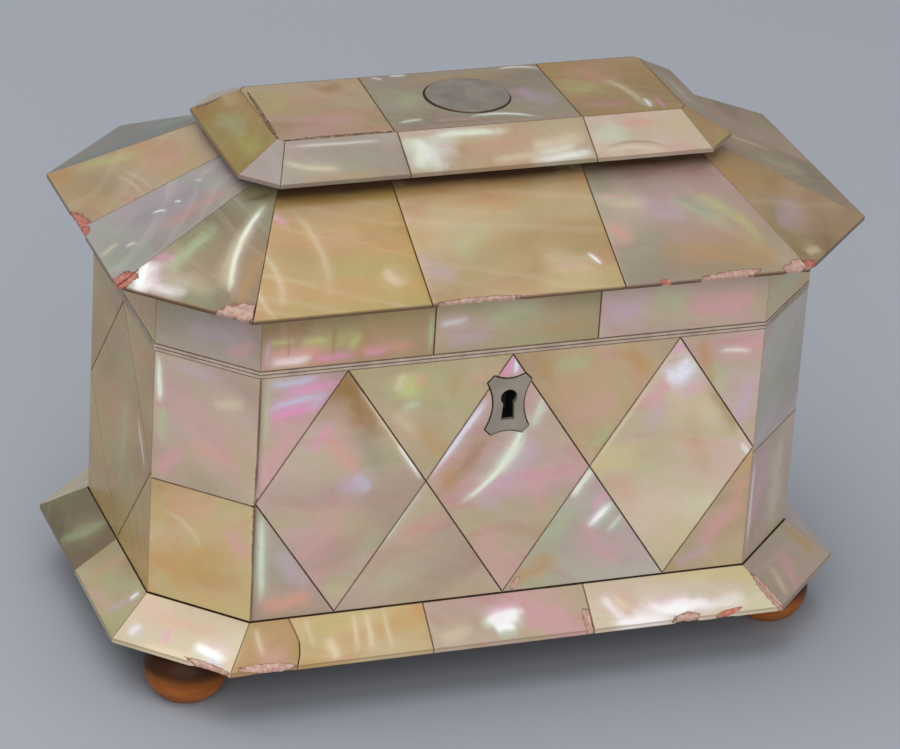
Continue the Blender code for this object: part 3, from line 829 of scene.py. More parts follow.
def add_gleam(nodes, colour, flat, gleam, share):
    one_side, core, other_side = (srgb(shade, share) for shade in FRINGES[gleam.fringe])
    ragged = 0.3 if gleam.fringe == "shade" else min(1.6, 0.45 + 0.3 * gleam.half_width)
    inputs = patch_inputs(colour, flat, gleam)
    inputs |= {"Bend": gleam.sag / gleam.half_width, "Ragged": ragged, "Strength": gleam.strength}
    inputs |= {"One Side": one_side, "Core": core, "Other Side": other_side}
    return nodes.add("Group", inputs, node_tree=GLEAM)["Color"]


def add_break(nodes, colour, flat, chip, share):
    inside, fleck, outline = (srgb(shade, share) for shade in BREAKS[chip.kind])
    inputs = patch_inputs(colour, flat, chip) | {"Inside": inside, "Fleck": fleck, "Outline": outline}
    return nodes.add("Group", inputs, node_tree=BREAK)["Color"]


def nacre(name, face, look, chips, seed, band):
    """The material of one plaque. Its clouds and gleams, which hold painted highlights and painted shadow,
    lie in the plane of the facet.
    """
    tone, bands, *gleams = look
    # the band's lightness: painted shade that darkens the plinth, roof and cap, where the light falls
    # stronger
    share = PAINTED_SHADE_LIGHTNESS[band]
    mat, nodes, shader = new_material(name)
    draw = random.Random(seed)
    here = nodes.here()
    along = nodes.minus(nodes.dot(here, face.along), face.origin.dot(face.along))
    up = nodes.minus(nodes.dot(here, face.up), face.origin.dot(face.up))
    flat = nodes.add("CombineXYZ", {"X": along, "Y": up})[0]
    shift = (draw.uniform(0, 5), draw.uniform(0, 5), draw.uniform(0, 5))
    moved = nodes.vector("ADD", flat, shift)[0]
    inputs = {"Place": moved, "Grain": draw.uniform(-0.6, 0.6), "Bands": bands}
    for socket, colour in zip(("Shade", "Light", "Cloud One", "Cloud Two"), TONES[tone]):
        inputs[socket] = srgb(colour, share)
    shell = nodes.add("Group", inputs, node_tree=SHELL)
    colour = shell["Color"]
    # gleams: the shell's play of colour, painted highlights and glints, and painted shadow
    for gleam in gleams:
        colour = add_gleam(nodes, colour, flat, Gleam(*gleam), share)
    rim = nodes.rim()
    side = nodes.between(rim, 1.05, 1.4)
    edge = nodes.minus(nodes.between(rim, 0.6, 0.95), side)
    colour = nodes.mix(nodes.times(edge, EDGE_STAIN), colour, srgb(EDGE_DIRT))
    # dirt in the joints and painted shade under the eave, on the sides of the plaques, set by band
    colour = nodes.mix(nodes.times(side, SIDE_STAIN_AND_SHADE[band]), colour, srgb(SIDE_DIRT_AND_SHADE))
    for chip in chips:
        if chip.kind in BREAKS:
            colour = add_break(nodes, colour, flat, chip, share)
    rough = nodes.plus(shell["Roughness"], nodes.times(edge, 0.4))
    shine, coat = RUBBED if face.node.removesuffix("_pearl") in RUBBED_FACES else POLISHED
    relief = nodes.bump(shell["Height"], 0.03, 0.4 * MM)
    nodes.set(shader, {"Base Color": colour, "Roughness": rough, "Normal": relief})
    nodes.set(shader, {"Specular IOR Level": shine, "Coat Weight": coat, "Coat Roughness": COAT_ROUGHNESS})
    return mat


def hidden_look(draw):
    """Plain but in keeping: a tone and a few soft gleams, for faces that the photograph doesn't show."""
    spans = ((-50, 50), (5, 50), (6, 14), (1, 5), (-80, 80), (-2, 2), (0.3, 0.7))
    tone = draw.choice(("sand", "rose", "cream", "honey", "mist", "olive"))
    gleams = []
    for _ in range(draw.randint(1, 3)):
        fringe = draw.choice(("pink", "white", "lime", "green", "pearl", "gold"))
        *where, sag, strength = (draw.uniform(*span) for span in spans)
        gleams.append((*where, fringe, strength, sag))
    return tone, draw.uniform(0.05, 0.2), *gleams


# Matched to the photograph: tones, each with its shade, its light and two cloud colours, and fringes, each
# with the colours on one side of a gleam, in its core and on its other side

TONES = {
    "rose": ((168, 146, 130), (190, 170, 152), (200, 158, 156), (178, 166, 128)),
    "sand": ((160, 140, 106), (186, 168, 134), (188, 156, 112), (194, 162, 148)),
    "honey": ((170, 142, 94), (200, 176, 126), (192, 152, 90), (194, 178, 138)),
    "amber": ((160, 130, 84), (188, 160, 112), (182, 138, 82), (184, 164, 122)),
    "cream": ((188, 172, 144), (212, 200, 172), (210, 178, 166), (202, 188, 140)),
    "olive": ((152, 140, 102), (180, 168, 128), (172, 174, 130), (186, 162, 138)),
    "mist": ((156, 148, 134), (182, 176, 162), (184, 162, 162), (170, 176, 150)),
    "dusk": ((146, 132, 116), (172, 158, 140), (172, 140, 132), (156, 152, 122)),
    "silver": ((150, 144, 138), (178, 172, 166), (178, 160, 170), (166, 170, 158)),
    "steel": ((104, 108, 98), (134, 138, 126), (122, 134, 126), (140, 128, 100)),
    "khaki": ((158, 126, 60), (186, 154, 84), (190, 144, 78), (172, 152, 84)),
    "moss": ((114, 102, 76), (142, 128, 98), (150, 122, 94), (130, 134, 104)),
    "peat": ((92, 80, 58), (118, 104, 78), (124, 100, 70), (112, 112, 82)),
    "tan": ((142, 118, 78), (172, 148, 104), (174, 138, 90), (174, 148, 118)),
}

# The white, glint, blush, streak, pearl, mint and pale fringes are painted highlights and glints; the
# shade fringe is painted shadow
FRINGES = {
    "white": ((208, 202, 182), (238, 234, 224), (222, 200, 204)),
    "glint": ((196, 236, 212), (252, 253, 250), (240, 196, 226)),
    "blush": ((236, 208, 208), (252, 244, 247), (232, 206, 214)),
    "streak": ((198, 212, 184), (232, 238, 216), (208, 188, 198)),
    "pearl": ((190, 198, 220), (230, 228, 240), (218, 190, 208)),
    "mint": ((188, 200, 176), (208, 222, 196), (206, 190, 192)),
    "ice": ((204, 180, 208), (194, 194, 216), (186, 200, 196)),
    "orchid": ((210, 156, 172), (224, 148, 186), (212, 160, 192)),
    "pink": ((204, 162, 142), (214, 154, 162), (206, 168, 176)),
    "salmon": ((204, 168, 130), (216, 154, 138), (208, 164, 164)),
    "lilac": ((190, 164, 176), (194, 168, 192), (196, 180, 192)),
    "lime": ((200, 190, 112), (190, 202, 120), (178, 188, 132)),
    "green": ((178, 182, 138), (174, 192, 148), (190, 196, 168)),
    "gold": ((190, 156, 98), (184, 140, 82), (186, 150, 100)),
    "umber": ((172, 142, 96), (150, 114, 64), (164, 136, 100)),
    "moss": ((150, 142, 112), (134, 134, 104), (152, 142, 118)),
    "steel": ((150, 156, 158), (126, 134, 140), (162, 162, 164)),
    "shade": ((120, 96, 72), (84, 62, 44), (120, 96, 72)),
    "pale": ((204, 184, 144), (222, 206, 174), (210, 184, 156)),
}

# Looks of the plaques that the photograph shows, by face and number: tone and strength of the growth
# bands, then the gleams (patches of colour, painted highlights and painted shadow) in the order in which
# they lie on each other, each with u, v, half length, half width, turn in degrees, fringe, strength and,
# where it is bent, its sag

LOOKS = {
    "body_front 1": ("rose", 0.04,
        (-39.5, 56, 13, 5, -60, "umber", 0.85, -0.5),
        (-42.3, 60, 6, 4.5, 0, "umber", 0.85),
        (-36, 43, 9, 3.5, -60, "moss", 0.4),
        (-43, 43, 9, 3, -55, "salmon", 0.6),
        (-48, 48, 5, 2, 55, "orchid", 0.45),
        (-37.5, 34.5, 3.5, 2.5, -45, "ice", 0.6),
        (-40, 34, 5, 2.5, 0, "lilac", 0.5),
        (-32.5, 49.5, 15, 0.7, -57.5, "pale", 0.75, 0.3),
        (-25.5, 38.8, 6, 0.8, -57, "white", 0.9, 0.3),
        (-46, 22, 12, 6, 60, "pink", 0.35),
        (-36, 15, 9, 4, 60, "green", 0.3),
        (-42, 6, 5, 3, 0, "lime", 0.25),
    ),
    "body_front 2": ("rose", 0.04,
        (-11.5, 36, 12, 3, -129, "umber", 0.5, 1),
        (-15.5, 33, 5, 3, -60, "gold", 0.5),
        (1, 33, 14, 6, -125, "lilac", 0.45, 3),
        (0, 37.5, 5, 2, 56, "streak", 0.8),
        (-2, 35, 15, 1.2, -125, "streak", 1.0, 4),
        (0, 38, 12, 3, -125, "mint", 0.4, 3),
        (-13.5, 44, 13, 1.4, -125, "pearl", 0.75),
        (7, 50, 8, 1.8, -108, "mint", 0.65),
        (-2, 61.5, 3, 1.3, 66, "orchid", 0.7),
        (0, 61.8, 3, 1, 80, "pearl", 0.9),
        (8, 27, 9, 5, -60, "pink", 0.35),
        (-3, 12, 10, 5, -60, "pink", 0.3),
    ),
    "body_front 3": ("cream", 0.04,
        (41.8, 62, 2.4, 1.6, 20, "orchid", 0.6),
        (41.5, 59, 3.5, 0.8, 8, "gold", 0.5, 0.4),
        (38, 51, 7, 3.4, 52, "pink", 0.65),
        (42.6, 55.5, 5, 3.8, 38, "pearl", 1.0),
        (46, 50.5, 5, 2.4, 10, "orchid", 0.35),
        (37, 44, 5, 2.5, 70, "lilac", 0.45),
        (48, 38, 14, 4, -70, "gold", 0.3),
        (38, 36, 8, 5, 30, "moss", 0.15),
        (54.5, 45, 10, 2.8, -60, "umber", 0.55),
        (62, 32, 3, 1, -50, "white", 0.7),
        (28, 42, 12, 0.7, 57, "pale", 0.5),
        (30, 25, 8, 4, -50, "salmon", 0.3),
    ),
    "body_front 4": ("dusk", 0.03,
        # painted shade in the open seam at the corner
        (-63.9, 16, 26, 0.8, 90, "shade", 1.0),
        (-61.8, 17, 14, 1.3, -88, "mint", 0.8),
        (-54, 13, 8, 3.5, -50, "lilac", 0.5),
        (-55, 4, 9, 3.2, 5, "salmon", 0.65),
    ),
    "body_front 5": ("rose", 0.04,
        (-27.5, 24, 12, 1.2, -123, "mint", 0.75),
        (-22, 20, 8, 4, 20, "salmon", 0.3),
        (-27, 7, 9, 4, 10, "green", 0.25),
    ),
    "body_front 6": ("mist", 0.04,
        (8, 5, 8, 4, 30, "gold", 0.6, 0.4),
        (14, 17, 8, 5, 55, "green", 0.45),
        (25, 10, 10, 5, -40, "pink", 0.35),
        (19.5, 28, 5, 1.5, 57, "streak", 0.75),
        (24.5, 23, 3.5, 1.5, 45, "orchid", 0.55),
        (24.5, 18.5, 4.5, 1.4, 48, "glint", 0.85),
        (28.5, 15.5, 3, 1, 48, "mint", 0.6),
    ),
    "body_front 7": ("sand", 0.04,
        (56, 11, 9, 4, 55, "pink", 0.45, 0.6),
        (61.5, 20, 6, 2, 80, "salmon", 0.4),
        (50, 4, 6, 2.5, 30, "lilac", 0.35),
    ),
    "body_front 8": ("rose", 0.04,
        (-54, 58.5, 11, 6, 30, "orchid", 0.55),
        (-55.5, 63, 7, 1.3, 5, "ice", 0.75, -0.4),
        (-51, 61, 8, 1.4, 8, "orchid", 0.75, 0.3),
        (-54.5, 58.3, 8, 1.3, 10, "ice", 0.8, 0.5),
        (-55, 55.4, 8, 1.6, 12, "orchid", 0.75, 0.5),
        (-49.5, 57.5, 4, 1.2, 50, "ice", 0.5),
        (-62.3, 55, 9, 1.5, 90, "green", 0.5),
        (-58, 46, 6, 3, 55, "pink", 0.45),
        # painted shade in the open seam at the corner
        (-63.9, 50, 26, 0.75, 90, "shade", 1.0),
    ),
    "body_front 9": ("olive", 0.04,
        (-26.5, 59, 4.5, 3.4, 78, "lime", 0.75),
        (-24.2, 60.5, 2.6, 2, 78, "salmon", 0.5),
        (-29, 60.5, 3, 2, 80, "pale", 0.6),
        (-26, 54, 3, 2, 20, "mint", 0.35),
        (-15.5, 58, 4, 1.6, 85, "gold", 0.35),
        (-27, 49, 6, 2.5, -45, "pale", 0.35),
        (-20, 44, 8, 4, -50, "gold", 0.45),
        (-9, 60, 6, 3, 10, "salmon", 0.3),
    ),
    "body_front 10": ("sand", 0.03,
        (14.5, 60.5, 6, 3, 7, "green", 0.4, 0.4),
        (7.5, 60, 3, 2.5, 80, "gold", 0.4),
        (31, 60, 6, 3, -50, "gold", 0.4),
        (20, 48, 8, 4, 20, "pink", 0.35),
        (23, 39.5, 5, 2.5, 40, "green", 0.3),
        (14, 52, 5, 3, -40, "salmon", 0.25),
    ),
    "body_front 11": ("rose", 0.04,
        (49, 58, 8, 2.4, -70, "gold", 0.65, -0.5),
        (61, 61, 5, 3, 20, "pink", 0.5),
        (60, 46, 9, 3.3, 80, "lilac", 0.5),
        (53, 53, 6, 3, -60, "green", 0.35),
        (56.5, 60, 5, 0.9, -6, "white", 0.6, 0.6),
    ),
    "body_front_left 1": ("honey", 0.03,
        (-3, 26, 8, 4, 10, "salmon", 0.35),
        (9.5, 20, 5, 3.4, -40, "pink", 0.5),
        (-4, 21, 7, 0.9, -35, "pale", 0.35, 2),
        (0, 8, 13, 4, 5, "gold", 0.4),
        (-11, 4, 4, 5, 60, "green", 0.25),
    ),
    "body_front_left 2": ("rose", 0.03,
        (-12.6, 58, 7, 1.1, -88, "streak", 0.85),
        (-11.5, 46, 6, 2, -88, "green", 0.5),
        (-9, 37, 7, 3, 50, "pink", 0.5),
        (3, 42, 9, 3.5, 5, "salmon", 0.4),
        (6, 56, 5, 2, 15, "pale", 0.45),
        (-2, 62, 8, 1.6, 0, "lilac", 0.35),
    ),
    "body_front_right 1": ("rose", 0.04,
        (-12.2, 16, 15, 0.9, -90, "white", 0.85),
        (4, 14, 14, 6, -88, "pale", 0.5),
        (-6, 24, 8, 3, -80, "lilac", 0.3),
    ),
    "body_front_right 2": ("mist", 0.03,
        (-6, 36, 8, 4, 30, "lilac", 0.35),
    ),
    "body_left 1": ("khaki", 0.05,
        (4, 30, 16, 4, 80, "green", 0.4),
        (19, 36, 7, 0.8, 126, "white", 0.8),
        (-6, 36, 10, 4, 70, "gold", 0.3),
    ),
    "body_left 2": ("khaki", 0.05),
    "body_left 3": ("khaki", 0.05),
    "body_left 4": ("khaki", 0.04),
    "body_left 5": ("khaki", 0.04),
    "frieze_front 1": ("tan", 0.06,
        (-47, 6, 8, 3, 0, "lime", 0.35),
        (-55, 3, 11, 3.2, 0, "salmon", 0.9, 0.5),
        (-57, 2, 6, 1.6, 0, "blush", 0.6),
        (-46, 2, 6, 1.8, 0, "orchid", 0.6),
        (-62.4, 4, 5, 0.9, -90, "lilac", 0.6),
        (-59, 7, 3.5, 1, 0, "lime", 0.5),
        (-51, 6.5, 4, 1.4, 5, "lime", 0.45),
        (-46.3, 6, 5, 0.9, -90, "umber", 0.5),
        (-57.4, 6, 4, 0.5, -88, "umber", 0.45),
        (-41, 5.5, 3, 1.6, 60, "lime", 0.5),
        (-34, 3, 9, 2, 0, "salmon", 0.55),
        (-36, 2.2, 3.5, 1.1, 0, "orchid", 0.5),
        (-22.3, 6, 6, 0.8, -90, "green", 0.6),
    ),
    "frieze_front 2": ("olive", 0.03,
        (-16.5, 8, 4, 1.3, 10, "pearl", 0.5),
        (-12, 4, 8, 3, 5, "lilac", 0.4),
        (-2, 9, 8, 3, 14, "green", 0.4, 1.3),
        (11, 4, 8, 2.4, 5, "gold", 0.35),
    ),
    "frieze_front 3": ("rose", 0.03,
        (27, 7, 7, 5, 0, "lilac", 0.5),
        (39, 9, 6, 4, 0, "green", 0.35),
        (52, 6, 10, 5, -5, "pink", 0.65, -0.5),
    ),
    "frieze_front_left 1": ("dusk", 0.04,
        (2, 7, 10, 5, 10, "lilac", 0.3),
        (9, 4, 5, 2.4, 35, "pink", 0.4),
    ),
    "frieze_front_right 1": ("honey", 0.03,
        (2, 8, 7, 3, 85, "green", 0.35),
    ),
    "frieze_left 1": ("khaki", 0.05),
    "roof_front 1": ("khaki", 0.07,
        # painted shadow cast by the cap
        (-42, 37, 44, 4.6, 0, "shade", 1.0),
        (-48, 6, 14, 4, 0, "gold", 0.4),
        (-44, 22, 8, 4, 0, "salmon", 0.2),
        (-56, 28.6, 3, 1.2, -40, "orchid", 0.5),
        (-48.5, 19, 15, 1.4, -83, "pale", 0.35, 3),
        (-60.5, 12, 10, 1.3, -86, "pale", 0.4, 2.2),
        (-66, 6, 7, 0.8, -82, "pale", 0.4, -1.6),
        (-33.5, 8.5, 4, 2.2, -50, "pale", 0.6, -1),
    ),
    "roof_front 2": ("honey", 0.05,
        # painted shadow cast by the cap
        (-2, 37, 44, 3.6, 0, "shade", 1.0),
        (-22.5, 10, 6, 4, -43, "lilac", 0.35),
        (-12, 18, 9, 5, 50, "green", 0.35),
        (10, 8, 8, 5, -10, "pale", 0.35),
        (9.5, 7.5, 2, 0.8, -55, "pink", 0.5),
        (17, 9, 2.6, 0.7, -58, "glint", 0.8),
    ),
    "roof_front 3": ("dusk", 0.05,
        # painted shadow cast by the cap
        (36, 37, 36, 3.6, 0, "shade", 0.9),
        (50, 7, 20, 6.5, -8, "gold", 0.55, 3),
        (33, 12, 8, 5, -30, "moss", 0.3),
        (25.5, 16, 4.5, 3, -55, "salmon", 0.6),
        (29, 25, 8, 3, -15, "pale", 0.4, 0.4),
        (27, 27, 4, 1.2, 0, "pink", 0.35),
        (38, 22, 8, 4, -30, "lilac", 0.35),
        (48, 20, 9, 3, -40, "green", 0.5, 1),
        (47, 22, 6, 2, -40, "steel", 0.35),
        (55, 19, 12, 2.4, -50, "lime", 0.4, 3),
    ),
    "roof_front_left 1": ("moss", 0.06,
        (-3, 6, 10, 5, 0, "pale", 0.35),
        (-6, 16, 9, 3, 75, "green", 0.6),
        (-15, 14, 6, 3, 60, "lime", 0.3),
        (11, 12, 12, 2.4, -84, "gold", 0.5, -2),
        (-12, 4.5, 6, 3.4, -80, "blush", 0.7),
        (-6.5, 2.5, 6, 2.4, 0, "blush", 0.6),
        (-13.5, 4.5, 5.5, 2.4, -75, "glint", 1.0),
        (-12, 11, 4, 1.6, 10, "orchid", 0.5),
        (4.5, 19, 16, 1.1, -80, "streak", 1.0, -3),
        (4, 15, 12, 3, -80, "pale", 0.35, -3),
        # painted shade under the cap
        (2, 35, 4, 1.2, 40, "shade", 0.5),
    ),
    "roof_front_right 1": ("tan", 0.04,
        (-2, 26, 12, 4, -60, "gold", 0.35),
        (-4, 13, 8, 5, 10, "lilac", 0.4),
        (-10.5, 2.8, 4, 2, -13, "pale", 0.6),
    ),
    "roof_left 1": ("sand", 0.08,
        (-10.5, 25.5, 7, 6, 70, "pink", 0.3),
        (-24, 14, 11, 3, 62, "lime", 0.4),
        (-28, 2, 5, 5, 60, "gold", 0.7, -0.7),
        (-8.5, 16, 8, 0.5, 11, "pale", 0.4, 1),
        (-8, 18.5, 8, 0.5, 12, "pale", 0.35, 1),
    ),
    "roof_left 2": ("silver", 0.1,
        (9.5, 21, 12, 4, 98, "steel", 0.3),
        (18, 27, 12, 4, 100, "salmon", 0.35),
        (10.5, 18, 2.2, 0.5, 58, "glint", 0.8, 0.7),
        (10.5, 23, 1.2, 0.45, 45, "glint", 0.8, 0.3),
        (16, 3, 3, 1.2, 113, "pale", 0.6, 0.5),
        (18.5, 8, 1.6, 0.9, 80, "white", 0.6, 0.4),
        (6, 30, 1.2, 0.4, 50, "white", 0.5, 0.3),
    ),
    "roof_back_left 1": ("steel", 0.05,
        (4, 20, 15, 8, 107, "steel", 0.2),
        (-6, 26, 8, 3, 100, "green", 0.3),
    ),
    "roof_right 1": ("tan", 0.04,
        (-14, 16, 9, 4, -70, "green", 0.35),
        (-4.5, 24, 8, 0.9, -80, "pale", 0.6, 0.4),
    ),
    "roof_right 2": ("tan", 0.04,
        (10, 18, 10, 5, 60, "pink", 0.3),
    ),
    "cap_front 1": ("dusk", 0.03,
        (-39, 1.2, 14, 1.4, 0, "gold", 0.45),
        (-45.5, 4.2, 8, 1.3, -12, "pale", 0.65, -1),
        (-38.5, 10.8, 12, 0.6, -1, "white", 0.5),
    ),
    "cap_front 2": ("sand", 0.03,
        (1, 6, 11, 4, 8, "salmon", 0.35, 1.2),
        (-16, 8, 9, 4.5, -10, "mint", 0.75),
        (-16.5, 5, 6, 3.4, -60, "glint", 0.6),
        (16, 1.4, 9, 1.8, 4, "glint", 0.85),
        (5, 2.2, 7, 1.8, 4, "pale", 0.6),
        (-19, 4, 4, 2.2, 70, "streak", 0.85),
        (-5, 10.8, 11, 1.6, 0, "streak", 0.85, 0.5),
        (-12, 7.5, 3, 1, 10, "orchid", 0.35),
        (16, 5.5, 9, 3, 11, "pale", 0.8, 0.2),
        (15, 3.4, 6, 1.4, 8, "streak", 0.6),
    ),
    "cap_front 3": ("cream", 0.03,
        (30, 7, 6, 4, 0, "mint", 0.5),
        (38, 9.5, 6, 1.8, 0, "salmon", 0.5),
        (35, 2.4, 9, 0.8, -5, "pale", 0.7, 2.4),
        (36, 4, 9, 0.5, -5, "umber", 0.5, 2.4),
    ),
    "cap_front_left 1": ("mist", 0.03),
    "cap_left 1": ("khaki", 0.04,
        (-3, 6, 10, 4, 10, "green", 0.45),
        (10, 6, 9, 4, 0, "lime", 0.3),
        (-15, 9, 6, 3, 0, "pale", 0.3),
    ),
    "cap_front_right 1": ("amber", 0.03),
    "cap_right 1": ("tan", 0.04,
        (0, 7, 12, 3, 0, "pale", 0.4),
    ),
    "cap_top 1": ("sand", 0.04,
        (-30.5, 28.5, 4.5, 3, 20, "umber", 0.55),
        (-36, 25, 9, 5, 20, "salmon", 0.3),
        (-36, 10, 10, 5, 10, "pink", 0.3),
        (-46, 22, 8, 5, 60, "lime", 0.25),
    ),
    "cap_top 2": ("dusk", 0.03,
        (-14, 17, 8, 4, 60, "green", 0.4),
        (2, 29, 18, 3, 0, "gold", 0.35),
        (17, 14, 8, 4, -60, "lilac", 0.45),
        (-11.5, 33, 2.5, 0.8, 0, "glint", 0.7),
        (-17, 32, 1.8, 0.8, -43, "white", 0.6),
        (20, 32.6, 6, 0.6, -10, "glint", 0.75, 1.5),
        (-17, 5.5, 3.5, 0.8, 10, "streak", 0.7, 0.4),
        (-6.5, 4.4, 6, 0.7, -8, "pink", 0.5, 1.5),
        (-4, 2.6, 14, 0.6, -1, "umber", 0.4),
        (6.5, 5.4, 9, 0.7, -12, "glint", 0.85, 2.4),
    ),
    "cap_top 3": ("tan", 0.04,
        (30, 18, 7, 5, -60, "lime", 0.3),
        (36, 24, 8, 5, -60, "salmon", 0.35),
        (33, 6, 8, 3, 0, "pink", 0.3),
        (41.5, 13, 11, 1.4, -77, "pale", 0.6, 2.4),
        (43.6, 4.8, 3.4, 0.9, -95, "glint", 0.65, 0.3),
        (46.5, 4.2, 4, 0.45, -91, "orchid", 0.75),
    ),
    "plinth_front 1": ("amber", 0.04,
        (-62.8, 7, 4.5, 1.1, -86, "pale", 0.55),
        (-60, 3, 5, 2.4, 0, "pink", 0.35),
    ),
    "plinth_front 2": ("honey", 0.05,
        (-35, 6.5, 6.5, 1.3, -92, "pale", 0.7, 0.5),
        (-30.5, 6.4, 6, 1, -88, "pale", 0.5),
        (-45, 3.4, 3.6, 2, -80, "pale", 0.75, 0.6),
        (-38.5, 7, 6, 1.1, -94, "pale", 0.6, 0.4),
        (-50, 8, 5, 0.9, -85, "pale", 0.4),
    ),
    "plinth_front 3": ("rose", 0.04,
        (9, 6, 8, 4, -20, "pink", 0.4),
        (-14, 3, 6, 2.4, -165, "pale", 0.45),
        (-4, 5.5, 4, 2, 15, "mint", 0.8),
        (-0.5, 6.6, 6, 1.9, 12, "glint", 1.0, 0.2),
        (-0.5, 5, 4.4, 2.2, 20, "glint", 1.0),
        (-1, 3.4, 3, 1.5, 0, "glint", 1.0, 0.4),
    ),
    "plinth_front 4": ("cream", 0.04,
        (56, 3, 8, 2.6, 4, "blush", 0.5),
        (31, 5.5, 5, 3, -30, "salmon", 0.4),
        (27.5, 5, 5, 1.8, -60, "blush", 0.7),
        (30, 6, 3.4, 1.8, -40, "pale", 0.8),
        (44, 3.4, 11, 3.2, -2, "blush", 1.0, -0.6),
        (42, 3, 6, 2, -6, "glint", 1.0, -0.6),
        (35, 2, 4, 2.4, -20, "white", 0.7),
        (31, 0.9, 4, 0.9, 0, "glint", 0.75),
        (34, 0.6, 9, 2.4, 0, "blush", 0.9),
    ),
    "plinth_front_left 1": ("cream", 0.04,
        (0, 9, 10, 2.4, 0, "salmon", 0.35),
        (-12, 4, 2.6, 1.8, 65, "pearl", 0.6),
        (-3.5, 4.5, 3, 1.3, 90, "orchid", 0.55),
        (9, 3.6, 5.5, 2.2, -14, "glint", 1.0, 0.3),
        (11.5, 1.6, 3, 1, -20, "ice", 0.6),
        (-1, 0.6, 9, 1.8, 0, "pale", 0.7),
    ),
    "plinth_front_right 1": ("dusk", 0.04,
        (-2, 5, 7, 3, 40, "pink", 0.5),
        (11, 8, 7, 2.4, -85, "gold", 0.55),
        (-9, 5, 5, 1.4, 60, "pale", 0.45),
    ),
    "plinth_left 1": ("peat", 0.04,
        (-12, 6, 8, 3.5, 60, "green", 0.45),
    ),
    "plinth_left 2": ("olive", 0.04,
        (8, 7, 7, 3, 70, "salmon", 0.3),
        (18, 2, 8, 1.6, 10, "pink", 0.4),
        (25.5, 6.3, 6, 1.1, 75, "lilac", 0.5, -0.4),
        (26, 9.8, 1.8, 1, 88, "glint", 0.8),
    ),
}

# Broken edges, where the reddish ground under the shell shows, and old filler in joints. Each break has
# the colours of its inside, its flecks and its outline. Each chip has u, v, half length, half width,
# turn in degrees, how far it bites into the edge, and its kind; a gap is only bitten out.

BREAKS = {
    "flake": ((184, 142, 128), (202, 170, 156), (132, 96, 76)),
    "ground": ((186, 104, 86), (198, 130, 112), (132, 80, 58)),
    "filler": ((112, 86, 58), (150, 128, 98), (74, 52, 36)),
}

CHIPS = {
    "roof_front 2": [(-14.5, 0, 11, 0.9, 0, 0.4, "flake")],
    "roof_front 3": [
        (32.5, 0, 1.3, 0.9, 0, 0.4, "ground"),
        (49, 0.3, 8, 1.2, 4, 0.3, "flake"),
        (66.5, 1.2, 4, 1.8, 20, 0.4, "flake"),
    ],
    "roof_front_right 1": [(-17, 0.8, 2.5, 1.6, -10, 0.5, "ground")],
    "roof_front_left 1": [
        (13.5, 1, 7, 3, 28, 0.5, "flake"),
        (-17.5, 2, 4.6, 2.6, 62, 0.4, "ground"),
    ],
    "roof_left 2": [(32, 0.5, 4.5, 2.6, 120, 0.5, "ground"), (2, 0.2, 2.4, 1.6, 0, 0.4, "ground")],
    "roof_left 1": [(-3, 0.4, 7, 2.1, 10, 0.4, "ground")],
    "cap_top 1": [(-37, 0.2, 14, 0.8, 0, 0.4, "filler"), (-51, 16, 14, 0.5, -92, 0.2, "filler")],
    "cap_left 1": [(-18, 4.4, 3, 0.9, 75, 0.2, "filler")],
    "plinth_front 1": [(-62.3, 0.4, 7.6, 1.1, -3, 0.3, "flake")],
    "plinth_front 3": [(20.4, 2, 4, 1.2, -87, 0.2, "flake")],
    "plinth_front 4": [
        (46, 0.2, 3.4, 1.3, 3, 0.6, "flake"),
        (57, 0.3, 3.4, 0.7, 10, 0.3, "ground"),
        (69, 4, 6.5, 1.3, 118, 0.2, "flake"),
    ],
    "plinth_front_left 1": [(10, 0.2, 6, 0.9, -5, 0.7, "flake")],
    "plinth_front_right 1": [(-15.8, 4.5, 6.5, 1.3, 80, 0.3, "flake")],
    "plinth_left 1": [(-33, 5, 5, 0.9, 64, 0.3, "ground")],
    "body_front_left 1": [(14.1, 28, 13, 0.9, 90, 0.5, "gap")],
    "body_front_left 2": [(14.1, 33, 9, 0.7, 90, 0.35, "gap")],
    "body_front 4": [(-62, 33, 2.4, 0.8, -70, 0.2, "filler")],
    "body_front 6": [(3.6, 2, 2, 0.8, 60, 0.2, "flake")],
}


# Making the plaques


def make_plaques(band, face_name):
    node_name = f"{band}_{face_name}_pearl"
    face = facet(node_name)
    for number, outline in enumerate(plaque_outlines(band, face_name, face), start=1):
        spot = f"{band}_{face_name} {number}"
        name = spot.replace(" ", "_plaque_")
        seed = f"shell {name}"
        look = LOOKS.get(spot) or hidden_look(random.Random(seed))
        chips = [Chip(*row) for row in CHIPS.get(spot, ())]
        edge = worn(sampled(inset_joints(outline, face), EDGE_STEP), face, chips)
        relief = pearl_relief(face, len(bpy.data.objects), chips)
        step = PLAQUE_STEP / 2 if chips else PLAQUE_STEP
        mat = nacre(name, face, look, chips, seed, band)
        obj = slab(name, face, edge, relief, mat, step, EDGE_RINGS)
        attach(obj, BODY_OF_BAND[band])
        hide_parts(node_name)


# Metal pieces let into the shell


def bowed(start, end, depth):
    """Points of an arc from start to just before end, bent by depth to the left of the way along."""
    chord = end - start
    across = Vector((-chord.y, chord.x)).normalized()
    points = []
    for step in range(CURVE_STEPS):
        share = step / CURVE_STEPS
        points.append(start + chord * share + across * depth * 4 * share * (1 - share))
    return points


